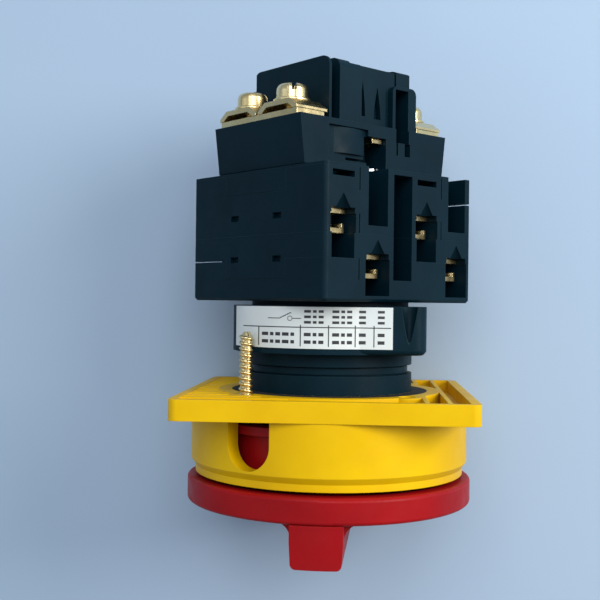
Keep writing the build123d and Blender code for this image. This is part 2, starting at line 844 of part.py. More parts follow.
def stage_2():
    """Second chamber moulding, notched for the rear cover."""
    body = square_prism(seam, block_back)
    notch = seam + stage_pitch
    body -= tongue_cut(notch - fit, block_back + past)
    floor = strip_tops[1] - strip_thickness - gap
    body -= span((-cavity_half_x, cavity_half_x), (-cavity_half_y, cavity_half_y),
                 (floor, block_back + past))
    for x in terminals(0):
        body -= driver_bore(x, seam - past, block_back + past)
        body -= entry_cut(x, driver_bore_r * 2 + bore_relief, seam + bore_floor, block_back + past,
                          terminal_depth - driver_bore_r)
    narrowing, below, above = light_entry
    for x in terminals(1):
        top = entry_tops[1]
        body -= entry_cut(x, entry_width, seam - past, top, entry_inner)
        body -= entry_cut(x, strip_width + strip_seat, top - past, strip_tops[1] + fit, tab_far - play)
        body -= funnel_cut(x, top)
        body -= driver_bore(x, top, block_back + past)
        body -= entry_cut(x, entry_width - narrowing, block_back - below, block_back - above,
                          terminal_depth)
    body -= centre_slot(seam - past, block_back - slot_roof)
    body -= tie_holes(seam - past, block_back + past)
    body -= disc(journal_r + shaft_room, seam - past, floor + past)
    for x in groove_places:
        body -= face_groove(x, seam - past, seam + groove_heights[0])
        body -= face_groove(x, block_back - groove_heights[1], block_back + past)
    inner, near, bottom, top = light_slit
    body -= span((inner, half + past), (-half - past, near), (block_back - bottom, block_back - top))
    body -= face_windows(entry_tops[1])
    body += guide_ribs(floor - rib_sink, strip_tops[1] + rib_rise)
    return body


def rear_cover():
    """Cover plate with tongues and the rear bearing."""
    body = square_prism(block_back, cover_back)
    for x in terminals(0) + terminals(1):
        body -= driver_bore(x, block_back - past, cover_back + past)
    for x in terminals(0):
        body -= entry_cut(x, driver_bore_r * 2 + bore_relief, block_back - past, cover_back + past,
                          terminal_depth - driver_bore_r)
    body += span((-cavity_half_x + play, cavity_half_x - play),
                 (-cavity_half_y + play, cavity_half_y - play), (block_back - cover_plug, cover_back))
    drop = block_back - (seam + stage_pitch)
    body += tongue(block_back - drop, cover_back)
    body -= disc(rear_journal_r + fit, block_back - far, cover_back + past)
    body -= tie_holes(block_back - far, cover_back + past)
    heads = at(0, tie_offset, disc(tie_head_r + play, block_back, cover_back + past))
    return body - heads - mirror(heads, Plane.XZ)


# ---------------------------------------------------------------- contact mechanism
def cam_radius(angle):
    """Radius of a contact cam: a steady lift over the travel, level at each end."""
    position = angle % 180
    lift = cam_lead * math.radians(turn_range)
    if position <= turn_range:
        return cam_low_r + cam_lead * math.radians(position)
    if position <= turn_range + cam_dwell:
        return cam_low_r + lift
    if position >= 180 - cam_dwell:
        return cam_low_r
    fall = (position - turn_range - cam_dwell) / (180 - turn_range - 2 * cam_dwell)
    return cam_low_r + lift * (1 + math.cos(math.pi * fall)) / 2


def contact_cam(stage):
    """Two-lobed cam that lifts both plungers of a stage."""
    low = strip_tops[stage] - cam_sink
    angles = [360 * step / cam_steps for step in range(cam_steps)]
    points = [on_circle(cam_radius(angle), angle) for angle in angles]
    outline = make_face(Polyline(*points, points[0]))
    cam = Pos(0, 0, low) * extrude(outline, cam_height)
    if stage == 0:
        cam += disc(rear_journal_r, low + cam_height, low + stage_pitch - gap)
    else:
        cam += disc(rear_journal_r, low + cam_height, cover_back - cam_end_play)
    return cam - Rot(0, 0, -block_turn) * square_bar(shaft_size + 2 * fit, low - past, low + far)


def contact_strip(stage, x, side):
    """Fixed contact: terminal pad, side leg and upright tab."""
    top = strip_tops[stage]
    bottom = top - strip_thickness
    sign = 1 if x > 0 else -1
    inner_edge = abs(x) - strip_width / 2
    pad = span(mirrored((inner_edge, inner_edge + strip_width), sign),
               mirrored((tab_far, terminal_depth + terminal_reach), side), (bottom, top))
    low_x = min(inner_edge, tab_inner)
    high_x = max(inner_edge, tab_inner + tab_thickness)
    leg = span(mirrored((low_x, high_x + leg_extra), sign),
               mirrored((tab_far - leg_overlap, cavity_half_y - fit), side), (bottom, top))
    tab = span(mirrored((tab_inner, tab_inner + tab_thickness), sign),
               mirrored((tab_near, tab_far), side), (bottom, top + tab_rise))
    hole = at(x, side * terminal_depth, disc(terminal_screw_r + fit, bottom - past, top + past))
    return pad + leg + tab - hole


def each_terminal(stage):
    """Every terminal of a stage as (column offset, side)."""
    return [(x, side) for x in terminals(stage) for side in sides]


def terminal_screw(stage, x, side):
    """Slotted screw above a contact strip."""
    top = strip_tops[stage]
    screw = disc(terminal_head_r, top, top + terminal_head_height)
    width, depth = terminal_slot
    screw -= span((-far, far), (-width / 2, width / 2), (top + terminal_head_height - depth, top + far))
    screw += disc(terminal_screw_r, top - clamp_drop - clamp_thickness - terminal_screw_end, top)
    first, step = terminal_turn
    return at(x, side * terminal_depth, Rot(0, 0, first + step * side) * screw)


def terminal_clamp(stage, x, side):
    """Ribbed clamp plate that the screw pulls up against the strip."""
    top = strip_tops[stage] - clamp_drop
    reach = strip_width / 2 - clamp_margin[0]
    depth = terminal_reach - clamp_margin[1]
    plate = span((-reach, reach), (-depth, depth), (top - clamp_thickness, top))
    for x_side in sides:
        plate += span(mirrored((reach - clamp_edge, reach), x_side), (-depth, depth),
                      (top - clamp_thickness, top + clamp_rise))
    plate -= disc(terminal_screw_r + fit, top - far, top + far)
    return at(x, side * terminal_depth, plate)


def bridge(stage, side):
    """Moving contact bar that lies against both tabs when closed."""
    low = strip_tops[stage] + gap
    inner = tab_inner + tab_thickness + contact_gap
    bar = span(mirrored((inner, inner + bridge_thickness), side), (-bridge_half, bridge_half),
               (low, low + bridge_height))
    middle = (tab_near + tab_far) / 2
    for y in (-middle, middle):
        pad = Pos(side * (inner + bridge_thickness), y, low + bridge_height / 2) * Rot(
            0, 90, 0) * Cylinder(button_r, button_height)
        bar += pad
    return bar


def plunger(stage, side):
    """Push piece between the cam and the bridge."""
    low = strip_tops[stage] + gap
    inner = tab_inner + tab_thickness + contact_gap
    start = cam_low_r + fit
    tip = Pos(start + plunger_tip_r, 0, low + bridge_height / 2) * Cylinder(
        plunger_tip_r, bridge_height)
    nose = Pos(0, 0, low) * extrude(make_face(Polyline(
        (start + plunger_tip_r, -plunger_tip_r), (start + plunger_tip_r, plunger_tip_r),
        (start + plunger_shoulder, plunger_half), (inner, plunger_half), (inner, -plunger_half),
        (start + plunger_shoulder, -plunger_half), (start + plunger_tip_r, -plunger_tip_r))), bridge_height)
    body = tip + nose
    return body if side > 0 else mirror(body, Plane.YZ)


def contact_spring(stage, side):
    """Coil spring between the bridge and the chamber wall."""
    start = tab_inner + tab_thickness + contact_gap + bridge_thickness
    length = cavity_half_x - start
    centre = strip_tops[stage] + gap + bridge_height / 2
    rise = length - spring_wire - 2 * spring_play
    path = Helix(rise / spring_turns, rise, spring_radius - spring_wire / 2)
    section = Plane(origin=path @ 0, z_dir=path % 0) * Circle(spring_wire / 2)
    coil = sweep(section, path, is_frenet=True)
    coil = Pos(start + spring_wire / 2 + spring_play, 0, centre) * Rot(0, 90, 0) * coil
    return coil if side > 0 else Rot(0, 0, 180) * coil


def tie_bolts():
    """Two long bolts that clamp the mouldings together."""
    bolt = disc(tie_r, block_front, block_back)
    bolt += disc(tie_head_r, block_back, block_back + tie_head_height)
    width, depth = tie_slot
    bolt -= span((-width / 2, width / 2), (-far, far), (block_back + tie_head_height - depth, far))
    return [at(0, side * tie_offset, bolt) for side in sides]


def arrow_marks():
    """Two small white assembly arrows on the wall of the near slot."""
    marks = []
    first = base_back + arrow_lift
    for level in (first, first + stage_pitch):
        tip = make_face(Polyline((0, -arrow_half), (0, arrow_half), (arrow_length, 0), (0, -arrow_half)))
        mark = extrude(Plane.YZ * tip, arrow_thickness)
        marks.append(Pos(-slot_width / 2, -half + arrow_inset, level) * mark)
    return marks


# ---------------------------------------------------------------- rear terminal unit
def both_faces(cut):
    """A feature of the near face, repeated on the far face by a half turn."""
    return cut + Rot(0, 0, 180) * cut


def near_recesses(face, foot, recesses):
    """Recesses in a near face, each given by its limits across, its depth and its height."""
    cuts = None
    for across, depth, (low, high) in recesses:
        cut = span(across, (face - past, face + depth), (foot + low, foot + high))
        cuts = cut if cuts is None else cuts + cut
    return cuts


def carrier():
    """Insulating body of the rear terminals."""
    low = cover_back
    high = carrier_back
    front = carrier_half_x - carrier_taper
    outline = make_face(Polyline((-front, low), (front, low), (carrier_half_x, high),
                                 (-carrier_half_x, high), (-front, low)))
    body = Rot(90, 0, 0) * Pos(0, 0, -carrier_half_y) * extrude(outline, 2 * carrier_half_y)
    body = chamfer(body.edges().group_by(Axis.Z)[0], carrier_chamfer)
    face = -carrier_half_y
    body -= both_faces(near_recesses(face, low, carrier_recesses))
    pad = Pos(pad_x, face + pad_radius, (low + high) / 2 + pad_lift) * Cylinder(
        pad_radius, high - low - pad_margin)
    pad &= span(pad_limits, (face - past, face + pad_depth), (low, high))
    body += both_faces(pad)
    heads = at(0, tie_offset, disc(tie_head_r + gap, low - past, block_back + tie_head_height + gap))
    body -= heads + mirror(heads, Plane.XZ)
    room, depth = carrier_bearing_room
    body -= disc(rear_journal_r + room, low - past, low + depth)
    pocket = nut_pocket(high - nut_height - play, high + past, nut_across_flats + 2 * fit)
    bore = disc(link_screw_r + play, high - carrier_bore, high + past)
    for x, y in each_link():
        body -= at(x, y, pocket + bore)
    return body


def nut_pocket(low, high, across):
    """Hexagonal prism measured across its flats."""
    radius = across / math.sqrt(3)
    return Pos(0, 0, low) * extrude(RegularPolygon(radius, 6), high - low)


def teardrop(x, foot, half_width, top):
    """Pointed recess on the tower's near face."""
    share, rise = teardrop_shoulder
    width = half_width * share
    shoulder = foot + (top - foot) * rise
    outline = make_face(Polyline((x - half_width, foot), (x + half_width, foot), (x + width, shoulder),
                                 (x, top), (x - width, shoulder), (x - half_width, foot)))
    return Rot(90, 0, 0) * Pos(0, 0, tower_half - teardrop_depth) * extrude(outline, teardrop_cutter)


def tower():
    """Upright barrier block between the two link bars."""
    low = carrier_back
    near = -tower_half
    body = span((-tower_half, tower_half), (-tower_half, tower_half), (low, tower_back))
    edges = body.edges().filter_by(Axis.X).group_by(Axis.Z)[-1]
    body = fillet(edges, tower_corner)
    cuts = near_recesses(near, low, tower_recesses)
    for x, foot, half_width, tip in teardrops:
        cuts += teardrop(x, low + foot, half_width, low + tip)
    mouth = span(mouth_x, (near - past, near + mouth_depth), (low - past, low + mouth_height))
    body -= both_faces(cuts + mouth)
    hood = span(hood_x, (near - hood_reach[0], near + hood_reach[1]), (low, low + hood_height))
    hood = fillet(hood.edges().filter_by(Axis.Y).group_by(Axis.Z)[-1], hood_corner)
    return body + both_faces(hood - mouth)


def link_bar(side):
    """Brass bar under two clamps."""
    x = mirrored((link_inner, link_outer), side)
    bar = span(x, (-link_half, link_half), (carrier_back, carrier_back + link_thickness))
    for y_side in sides:
        bar -= at(side * link_screw_x, y_side * link_screw_y,
                  disc(link_screw_r + fit, carrier_back - past, far))
    return bar


def each_link():
    """Every clamp position of the rear unit."""
    return [(x * link_screw_x, y * link_screw_y) for x in sides for y in sides]


def saddle_clamp():
    """Bent clamp plate whose ends turn down to the bar."""
    low = carrier_back + link_thickness
    reach = clamp_size / 2
    wide = link_screw_y - saddle_inset
    under = low + clamp_lift - saddle_plate
    over = low + clamp_lift
    foot, foot_height = saddle_foot
    inside, outside = saddle_bend
    outline = make_face(Polyline(
        (-wide, low), (-wide + foot, low), (-wide + inside, under), (wide - inside, under),
        (wide - foot, low), (wide, low), (wide, low + foot_height), (wide - outside, over),
        (-wide + outside, over), (-wide, low + foot_height), (-wide, low)))
    plate = Pos(-reach, 0, 0) * extrude(Plane.YZ * outline, 2 * reach)
    return plate - disc(link_screw_r + fit, low - past, low + far)


def link_screw():
    """Pan-head screw with a captive flange."""
    seat = carrier_back + link_thickness + clamp_lift
    top = seat + link_flange_height + link_head_height
    screw = disc(link_flange_r, seat, seat + link_flange_height)
    head = disc(link_head_r, seat + link_flange_height, top)
    head = fillet(head.edges().filter_by(GeomType.CIRCLE).group_by(Axis.Z)[-1], link_head_round)
    screw += head
    screw += disc(link_screw_r, carrier_back - link_screw_reach, seat)
    width, depth = link_slot
    across = (-width / 2, width / 2)
    screw -= span(across, (-far, far), (top - depth, top + past))
    screw -= span((-link_cross_half, link_cross_half), across, (top - depth, top + past))
    return screw


def link_nut():
    """Hexagonal nut held in the carrier."""
    low = carrier_back - nut_height
    body = nut_pocket(low, carrier_back, nut_across_flats)
    return body - disc(link_screw_r + fit, low - past, carrier_back + past)


def inner_contact():
    """Brass tongue that shows at the top of the carrier's middle recess."""
    near, inner = inner_contact_y
    low, high = inner_contact_level
    return span(inner_contact_x, (near - carrier_half_y, inner - carrier_half_y),
                (carrier_back - low, carrier_back - high))


# ---------------------------------------------------------------- files
def write_front():
    """Plate, handle and neck pieces."""
    write("front_plate", [front_plate()])
    write("plate_screws", plate_screws())
    write("plate_clip", [clip()])
    write("panel_gasket", [gasket()])
    write("handle", [handle()])
    write("locking_drum", [locking_drum()])
    write("handle_screw", [handle_screw()])
    write("shaft", [shaft()])
    write("neck_sleeve", [neck()])
    write("shaft_seal", [shaft_seal()])


def write_index_unit():
    """Index housing and what turns inside it."""
    write("index_housing", [index_housing()])
    write("nameplate", [label()])
    write("index_cam", [index_cam()])
    write("index_springs", leaf_springs())
    write("stop_disc", [stop_disc()])
    write("stop_pin", [stop_pin()])
    write("adapter_plate", [adapter_plate()])


def write_block_unit():
    """Contact block mouldings and contacts."""
    write_block("block_base", [base()])
    write_block("chamber_1", [stage_1()])
    write_block("chamber_2", [stage_2()])
    write_block("rear_cover", [rear_cover()])
    write_block("tie_bolts", tie_bolts())
    write_block("arrow_marks", arrow_marks())
    for stage in (0, 1):
        number = str(stage + 1)
        places = each_terminal(stage)
        write_block("contact_cam_" + number, [contact_cam(stage)])
        write_block("fixed_contacts_" + number, [contact_strip(stage, *place) for place in places])
        write_block("terminal_screws_" + number, [terminal_screw(stage, *place) for place in places])
        write_block("terminal_clamps_" + number, [terminal_clamp(stage, *place) for place in places])
        for side, tag in zip(sides, ("a", "b")):
            write_block("bridge_" + number + tag, [bridge(stage, side)])
            write_block("plunger_" + number + tag, [plunger(stage, side)])
            write_block("contact_spring_" + number + tag, [contact_spring(stage, side)])


def write_rear_unit():
    """Rear terminals."""
    write_block("terminal_carrier", [carrier()])
    write_block("barrier_tower", [tower()])
    write_block("link_bar_left", [link_bar(-1)])
    write_block("link_bar_right", [link_bar(1)])
    write_block("link_clamps", [at(x, y, saddle_clamp()) for x, y in each_link()])
    write_block("link_screws", [at(x, y, Rot(0, 0, link_turn * y) * link_screw()) for x, y in each_link()])
    write_block("link_nuts", [at(x, y, link_nut()) for x, y in each_link()])
    write_block("inner_contacts", [inner_contact(), Rot(0, 0, 180) * inner_contact()])


os.makedirs("parts", exist_ok=True)
write_front()
write_index_unit()
write_block_unit()
write_rear_unit()
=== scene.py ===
"""Finishes, fine pieces, lights and camera for a panel-mounted rotary isolator switch."""

import json
import logging
import math
from dataclasses import dataclass, field
from enum import Enum
from itertools import cycle
from typing import Any, Iterable, Optional, Sequence

import bmesh
import bpy
from mathutils import Matrix, Vector


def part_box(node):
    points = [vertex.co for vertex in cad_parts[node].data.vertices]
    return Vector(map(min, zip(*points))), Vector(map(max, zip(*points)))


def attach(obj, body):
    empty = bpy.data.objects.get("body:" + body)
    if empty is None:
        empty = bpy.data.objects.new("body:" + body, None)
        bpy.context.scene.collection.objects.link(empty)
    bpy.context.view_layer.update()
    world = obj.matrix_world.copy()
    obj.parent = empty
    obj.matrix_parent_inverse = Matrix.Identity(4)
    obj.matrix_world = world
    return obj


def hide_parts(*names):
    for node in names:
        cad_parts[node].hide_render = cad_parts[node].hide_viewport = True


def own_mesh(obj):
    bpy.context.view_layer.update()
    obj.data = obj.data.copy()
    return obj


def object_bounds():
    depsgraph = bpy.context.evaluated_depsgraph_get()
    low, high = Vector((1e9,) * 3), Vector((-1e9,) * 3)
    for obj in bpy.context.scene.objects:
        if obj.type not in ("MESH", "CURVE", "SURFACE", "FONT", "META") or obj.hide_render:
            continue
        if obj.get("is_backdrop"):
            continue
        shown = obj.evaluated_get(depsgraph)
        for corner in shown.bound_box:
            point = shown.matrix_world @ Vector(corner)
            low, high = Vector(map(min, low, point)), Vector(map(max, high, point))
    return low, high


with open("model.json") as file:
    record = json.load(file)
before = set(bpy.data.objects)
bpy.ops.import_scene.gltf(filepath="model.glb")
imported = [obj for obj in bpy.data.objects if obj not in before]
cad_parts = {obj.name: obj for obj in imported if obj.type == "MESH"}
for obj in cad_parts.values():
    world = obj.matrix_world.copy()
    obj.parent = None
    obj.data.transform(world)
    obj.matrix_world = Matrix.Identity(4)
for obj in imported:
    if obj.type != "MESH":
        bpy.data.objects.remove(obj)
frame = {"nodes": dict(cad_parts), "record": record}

log = logging.getLogger("switch")
logging.basicConfig(level=logging.INFO, format="%(levelname)s %(message)s")

MM = 0.001
Color = tuple[float, float, float]
Point = tuple[float, float, float]


class Slot(Enum):
    """Material slots of the switch."""

    YELLOW = "yellow_plastic"
    RED = "red_plastic"
    BLACK = "black_plastic"
    CAM = "cam_plastic"
    RUBBER = "black_rubber"
    LABEL = "label_white"
    BRASS = "brass"
    COPPER = "copper"
    STEEL = "steel"
    SPRING = "spring_steel"


class Body(Enum):
    """Bodies that the new pieces ride on."""

    FIXED = "switch_body"


# ---------------------------------------------------------------- node graphs
@dataclass
class Graph:
    """Short way to add and join nodes in one node tree.

    Args:
        tree: the shader or geometry tree that is filled.
    """

    tree: bpy.types.NodeTree

    def add(self, kind: str, settings: Optional[dict[str, Any]] = None, **inputs: Any) -> bpy.types.Node:
        """Add a node.

        Args:
            kind: Blender's name of the node type.
            settings: node properties by name.
            **inputs: socket values or output sockets, by input name with _ for a space.

        Returns:
            The new node.
        """
        node = self.tree.nodes.new(kind)
        for name, value in (settings or {}).items():
            setattr(node, name, value)
        for name, value in inputs.items():
            self.feed(node.inputs[name.replace("_", " ")], value)
        return node

    def feed(self, socket: bpy.types.NodeSocket, value: Any) -> None:
        """Link an output socket to an input, or set the input's value.

        Args:
            socket: input that is fed.
            value: output socket, or a plain value.
        """
        if isinstance(value, bpy.types.NodeSocket):
            self.tree.links.new(value, socket)
        else:
            socket.default_value = value

    def math(self, operation: str, first: Any, second: Any = 0.0) -> bpy.types.NodeSocket:
        """Add a maths node.

        Args:
            operation: name of the operation.
            first: first value or socket.
            second: second value or socket.

        Returns:
            The node's output socket.
        """
        node = self.add("ShaderNodeMath", {"operation": operation})
        self.feed(node.inputs[0], first)
        self.feed(node.inputs[1], second)
        return node.outputs[0]

    def noise(self, place: Any, scale: float, detail: float = 3.0) -> bpy.types.NodeSocket:
        """Add noise on object coordinates.

        Args:
            place: socket of the coordinates.
            scale: waves per metre.
            detail: number of finer layers.

        Returns:
            Socket of the noise, from 0 to 1.
        """
        node = self.add("ShaderNodeTexNoise", Vector=place, Scale=scale, Detail=detail)
        return node.outputs["Fac"]

    def remap(self, value: Any, old: tuple[float, float], new: tuple[float, float]) -> bpy.types.NodeSocket:
        """Map one range of a value to another, clamped.

        Args:
            value: value or socket that is mapped.
            old: range that it comes from.
            new: range that it goes to.

        Returns:
            Socket of the mapped value.
        """
        node = self.add("ShaderNodeMapRange", Value=value, From_Min=old[0], From_Max=old[1],
                        To_Min=new[0], To_Max=new[1])
        return node.outputs["Result"]

    def blend(self, share: Any, first: Any, second: Any) -> bpy.types.NodeSocket:
        """Mix two colours.

        Args:
            share: 0 gives the first colour and 1 the second.
            first: colour or colour socket.
            second: colour or colour socket.

        Returns:
            The mixed colour's socket.
        """
        node = self.add("ShaderNodeMix", {"data_type": "RGBA"})
        self.feed(node.inputs["Factor"], share)
        for socket, value in ((node.inputs[6], first), (node.inputs[7], second)):
            self.feed(socket, (*value, 1.0) if isinstance(value, tuple) else value)
        return node.outputs[2]


# ---------------------------------------------------------------- finishes
GRAIN_DETAIL = 2.0
DRIFT_DETAIL = 4.0
SMUDGE_DETAIL = 5.0
SMUDGE_RATIO = 4.3          # smudge waves for each wave of the colour drift
BEVEL_SAMPLES = 4
DRIFT_SPAN = (0.35, 0.65)   # noise between which the tint comes in
SMUDGE_SPAN = (0.3, 0.7)    # noise between which the roughness rises
EDGE_SPAN = (0.985, 0.80)   # cosine between the flat and the rounded normal
RUB_SPAN = (0.35, 0.6)      # noise between which the rubbing comes in
RUB_SHARE = (0.2, 1.0)      # least and most of the rubbing


@dataclass(frozen=True)
class Finish:
    """A procedural finish on object coordinates.

    Args:
        name: name of the material.
        color: main colour, linear.
        tint: colour that drifts through the main one.
        edge: colour of rubbed edges.
        roughness: lowest and highest roughness.
        metallic: 1 for bare metal.
        grain: waves per metre of the fine surface texture.
        grain_depth: height of that texture in metres.
        edge_radius: radius that the light sees on sharp edges, in metres.
        wear: how much of an edge is rubbed, from 0 to 1.
        drift: waves per metre of the colour drift.
        lines: stretch of the grain along the shaft, 1 for none.
        specular: specular level of the shader.
    """

    name: str
    color: Color
    tint: Color
    edge: Color
    roughness: tuple[float, float] = (0.35, 0.5)
    metallic: float = 0.0
    grain: float = 2600.0
    grain_depth: float = 0.00001
    edge_radius: float = 0.00022
    wear: float = 0.35
    drift: float = 55.0
    lines: float = 1.0
    specular: float = 0.5

    def material(self) -> bpy.types.Material:
        """Build the finish.

        Returns:
            The new material.
        """
        made = bpy.data.materials.new(self.name)
        made.use_nodes = True
        made.node_tree.nodes.clear()
        graph = Graph(made.node_tree)
        place = graph.add("ShaderNodeTexCoord").outputs["Object"]
        stretched = graph.add("ShaderNodeMapping", Vector=place, Scale=(1.0, self.lines, 1.0)).outputs[0]
        grain = graph.noise(stretched, self.grain, GRAIN_DETAIL)
        drift = graph.noise(place, self.drift, DRIFT_DETAIL)
        smudge = graph.noise(place, self.drift * SMUDGE_RATIO, SMUDGE_DETAIL)
        rounded = graph.add("ShaderNodeBevel", {"samples": BEVEL_SAMPLES}, Radius=self.edge_radius).outputs[0]
        shader = graph.add("ShaderNodeBsdfPrincipled", Metallic=self.metallic)
        shader.inputs["Specular IOR Level"].default_value = self.specular
        body = graph.blend(graph.remap(drift, DRIFT_SPAN, (0.0, 1.0)), self.color, self.tint)
        rubbed = graph.blend(self.rub(graph, rounded, smudge), body, self.edge)
        graph.feed(shader.inputs["Base Color"], rubbed)
        graph.feed(shader.inputs["Roughness"], graph.remap(smudge, SMUDGE_SPAN, self.roughness))
        bump = graph.add("ShaderNodeBump", Height=grain, Distance=self.grain_depth, Normal=rounded)
        graph.feed(shader.inputs["Normal"], bump.outputs[0])
        out = graph.add("ShaderNodeOutputMaterial")
        graph.tree.links.new(shader.outputs[0], out.inputs["Surface"])
        return made

    def rub(self, graph: Graph, rounded: bpy.types.NodeSocket,
            smudge: bpy.types.NodeSocket) -> bpy.types.NodeSocket:
        """Mask of rubbed edges.

        Args:
            graph: the material's nodes.
            rounded: normal with its edges rounded.
            smudge: noise that breaks the edges up.

        Returns:
            Socket that is 0 on open faces and nears wear on edges.
        """
        flat = graph.add("ShaderNodeNewGeometry").outputs["Normal"]
        dot = graph.add("ShaderNodeVectorMath", {"operation": "DOT_PRODUCT"})
        graph.feed(dot.inputs[0], flat)
        graph.feed(dot.inputs[1], rounded)
        turned = graph.remap(dot.outputs["Value"], EDGE_SPAN, (0.0, self.wear))
        return graph.math("MULTIPLY", turned, graph.remap(smudge, RUB_SPAN, RUB_SHARE))


FINISHES: dict[Slot, Finish] = {
    Slot.YELLOW: Finish("yellow_moulding", (0.73, 0.45, 0.001), (0.65, 0.375, 0.001), (0.90, 0.66, 0.05),
                        (0.34, 0.50), grain=1500.0, grain_depth=0.000012, wear=0.25, specular=0.12),
    Slot.RED: Finish("red_moulding", (0.33, 0.004, 0.006), (0.26, 0.003, 0.005), (0.52, 0.06, 0.05),
                     (0.36, 0.52), grain=1700.0, grain_depth=0.000016, wear=0.3, specular=0.14),
    Slot.BLACK: Finish("dark_moulding", (0.0015, 0.0145, 0.0235), (0.001, 0.0105, 0.018),
                       (0.020, 0.056, 0.073), (0.40, 0.58), grain=2400.0, grain_depth=0.00003,
                       wear=0.5, specular=0.08),
    Slot.CAM: Finish("cam_moulding", (0.62, 0.60, 0.54), (0.55, 0.52, 0.45), (0.72, 0.70, 0.66)),
    Slot.RUBBER: Finish("seal_rubber", (0.012, 0.013, 0.014), (0.02, 0.02, 0.02), (0.03, 0.03, 0.03),
                        (0.65, 0.85), grain_depth=0.00003, wear=0.1, specular=0.3),
    Slot.LABEL: Finish("plate_white", (0.66, 0.70, 0.68), (0.60, 0.64, 0.63), (0.9, 0.9, 0.9),
                       (0.30, 0.42), grain_depth=0.000004, edge_radius=0.00005, wear=0.1),
    Slot.BRASS: Finish("plated_brass", (0.80, 0.66, 0.36), (0.72, 0.56, 0.27), (0.92, 0.82, 0.56),
                       (0.20, 0.32), 1.0, grain=1400.0, grain_depth=0.0000015, wear=0.4, drift=90.0),
    Slot.COPPER: Finish("contact_copper", (0.72, 0.36, 0.21), (0.64, 0.30, 0.17), (0.88, 0.56, 0.40),
                        (0.24, 0.36), 1.0, grain_depth=0.0000015, wear=0.4, drift=110.0),
    Slot.STEEL: Finish("zinc_steel", (0.56, 0.57, 0.58), (0.50, 0.52, 0.54), (0.74, 0.74, 0.74),
                       (0.26, 0.40), 1.0, grain=2200.0, grain_depth=0.000002, lines=0.15, wear=0.4,
                       drift=100.0),
    Slot.SPRING: Finish("drawn_steel", (0.48, 0.49, 0.51), (0.41, 0.42, 0.45), (0.66, 0.66, 0.66),
                        (0.22, 0.34), 1.0, grain_depth=0.0000015, lines=0.2, drift=120.0),
}
INK = Finish("print_ink", (0.018, 0.019, 0.022), (0.035, 0.036, 0.040), (0.05, 0.05, 0.05),
             (0.45, 0.6), edge_radius=0.00002, grain_depth=0.000003, wear=0.1)


@dataclass
class Wardrobe:
    """Makes each finish once and dresses nodes and pieces in it."""

    made: dict[str, bpy.types.Material] = field(default_factory=dict)

    def get(self, finish: Finish) -> bpy.types.Material:
        """Return a finish's material, made on first use.

        Args:
            finish: the finish that is wanted.

        Returns:
            Its material.
        """
        if finish.name not in self.made:
            self.made[finish.name] = finish.material()
        return self.made[finish.name]

    def dress(self, thing: bpy.types.Object, finish: Finish) -> None:
        """Give an object one finish all over.

        Args:
            thing: the object.
            finish: its finish.
        """
        thing.data.materials.clear()
        thing.data.materials.append(self.get(finish))

    def dress_frame(self) -> None:
        """Dress every node of the frame in the finish of its recorded slot."""
        for row in frame["record"]["subparts"]:
            finish = FINISHES[Slot(row["material_slot"])]
            self.dress(frame["nodes"][row["node"]], finish)
            log.info("dressed %s in %s", row["node"], finish.name)


# ---------------------------------------------------------------- shared building steps
def finish_piece(piece: bpy.types.Object, body: Body, replaces: Sequence[str] = ()) -> None:
    """Hang a finished piece on its body.

    Args:
        piece: the piece, at the origin.
        body: the body that it rides on.
        replaces: nodes that it stands for.
    """
    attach(piece, body.value)
    if replaces:
        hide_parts(*replaces)
    log.info("built %s with %d faces on %s", piece.name, len(piece.data.polygons), body.value)


def mesh_piece(name: str, work: bmesh.types.BMesh) -> bpy.types.Object:
    """Turn mesh work into an object with its faces pointing outwards.

    Args:
        name: name of the object.
        work: the mesh work, freed afterwards.

    Returns:
        The new object.
    """
    bmesh.ops.recalc_face_normals(work, faces=work.faces)
    mesh = bpy.data.meshes.new(name)
    work.to_mesh(mesh)
    work.free()
    piece = bpy.data.objects.new(name, mesh)
    bpy.context.collection.objects.link(piece)
    return piece


def lathe(work: bmesh.types.BMesh, profile: Sequence[tuple[float, float]], center: Point,
          steps: int = 40) -> None:
    """Turn a profile about an axis that runs along the shaft.

    Args:
        work: mesh that takes the solid.
        profile: (radius, place along the shaft) pairs; the first and last have no radius.
        center: point that the axis passes through.
        steps: sides of the turned solid.
    """
    rings: list[list[bmesh.types.BMVert]] = []
    for radius, along in profile:
        count = steps if radius > 0 else 1
        ring = []
        for index in range(count):
            angle = 2 * math.pi * index / steps
            ring.append(work.verts.new((center[0] + radius * math.cos(angle), center[1] + along,
                                        center[2] + radius * math.sin(angle))))
        rings.append(ring)
    for lower, upper in zip(rings, rings[1:]):
        for index in range(steps):
            after = (index + 1) % steps
            corners = [lower[index % len(lower)], lower[after % len(lower)],
                       upper[after % len(upper)], upper[index % len(upper)]]
            unique = list(dict.fromkeys(corners))
            if len(unique) > 2:
                work.faces.new(unique)


def recorded_slot(node: str) -> Slot:
    """Material slot that the record gives a node."""
    row = next(row for row in frame["record"]["subparts"] if row["node"] == node)
    return Slot(row["material_slot"])


def block_point(across: float, beside: float, along: float) -> Point:
    """Turn a place of the contact block's own square frame into the shared frame.

    Args:
        across: place along the block's terminal rows.
        beside: place square to them.
        along: place along the shaft.

    Returns:
        The point in the shared frame.
    """
    share = math.sqrt(0.5)
    return ((across - beside) * share, along, -(across + beside) * share)


def bar_cutter(size: Point, center: Point) -> bpy.types.Object:
    """Make a square-edged block that cuts a slot.

    Args:
        size: its three sides.
        center: its middle.

    Returns:
        The block.
    """
    work = bmesh.new()
    bmesh.ops.create_cube(work, size=1.0, matrix=Matrix.Translation(center) @ Matrix.Diagonal((*size, 1.0)))
    return mesh_piece("slot_cutter", work)


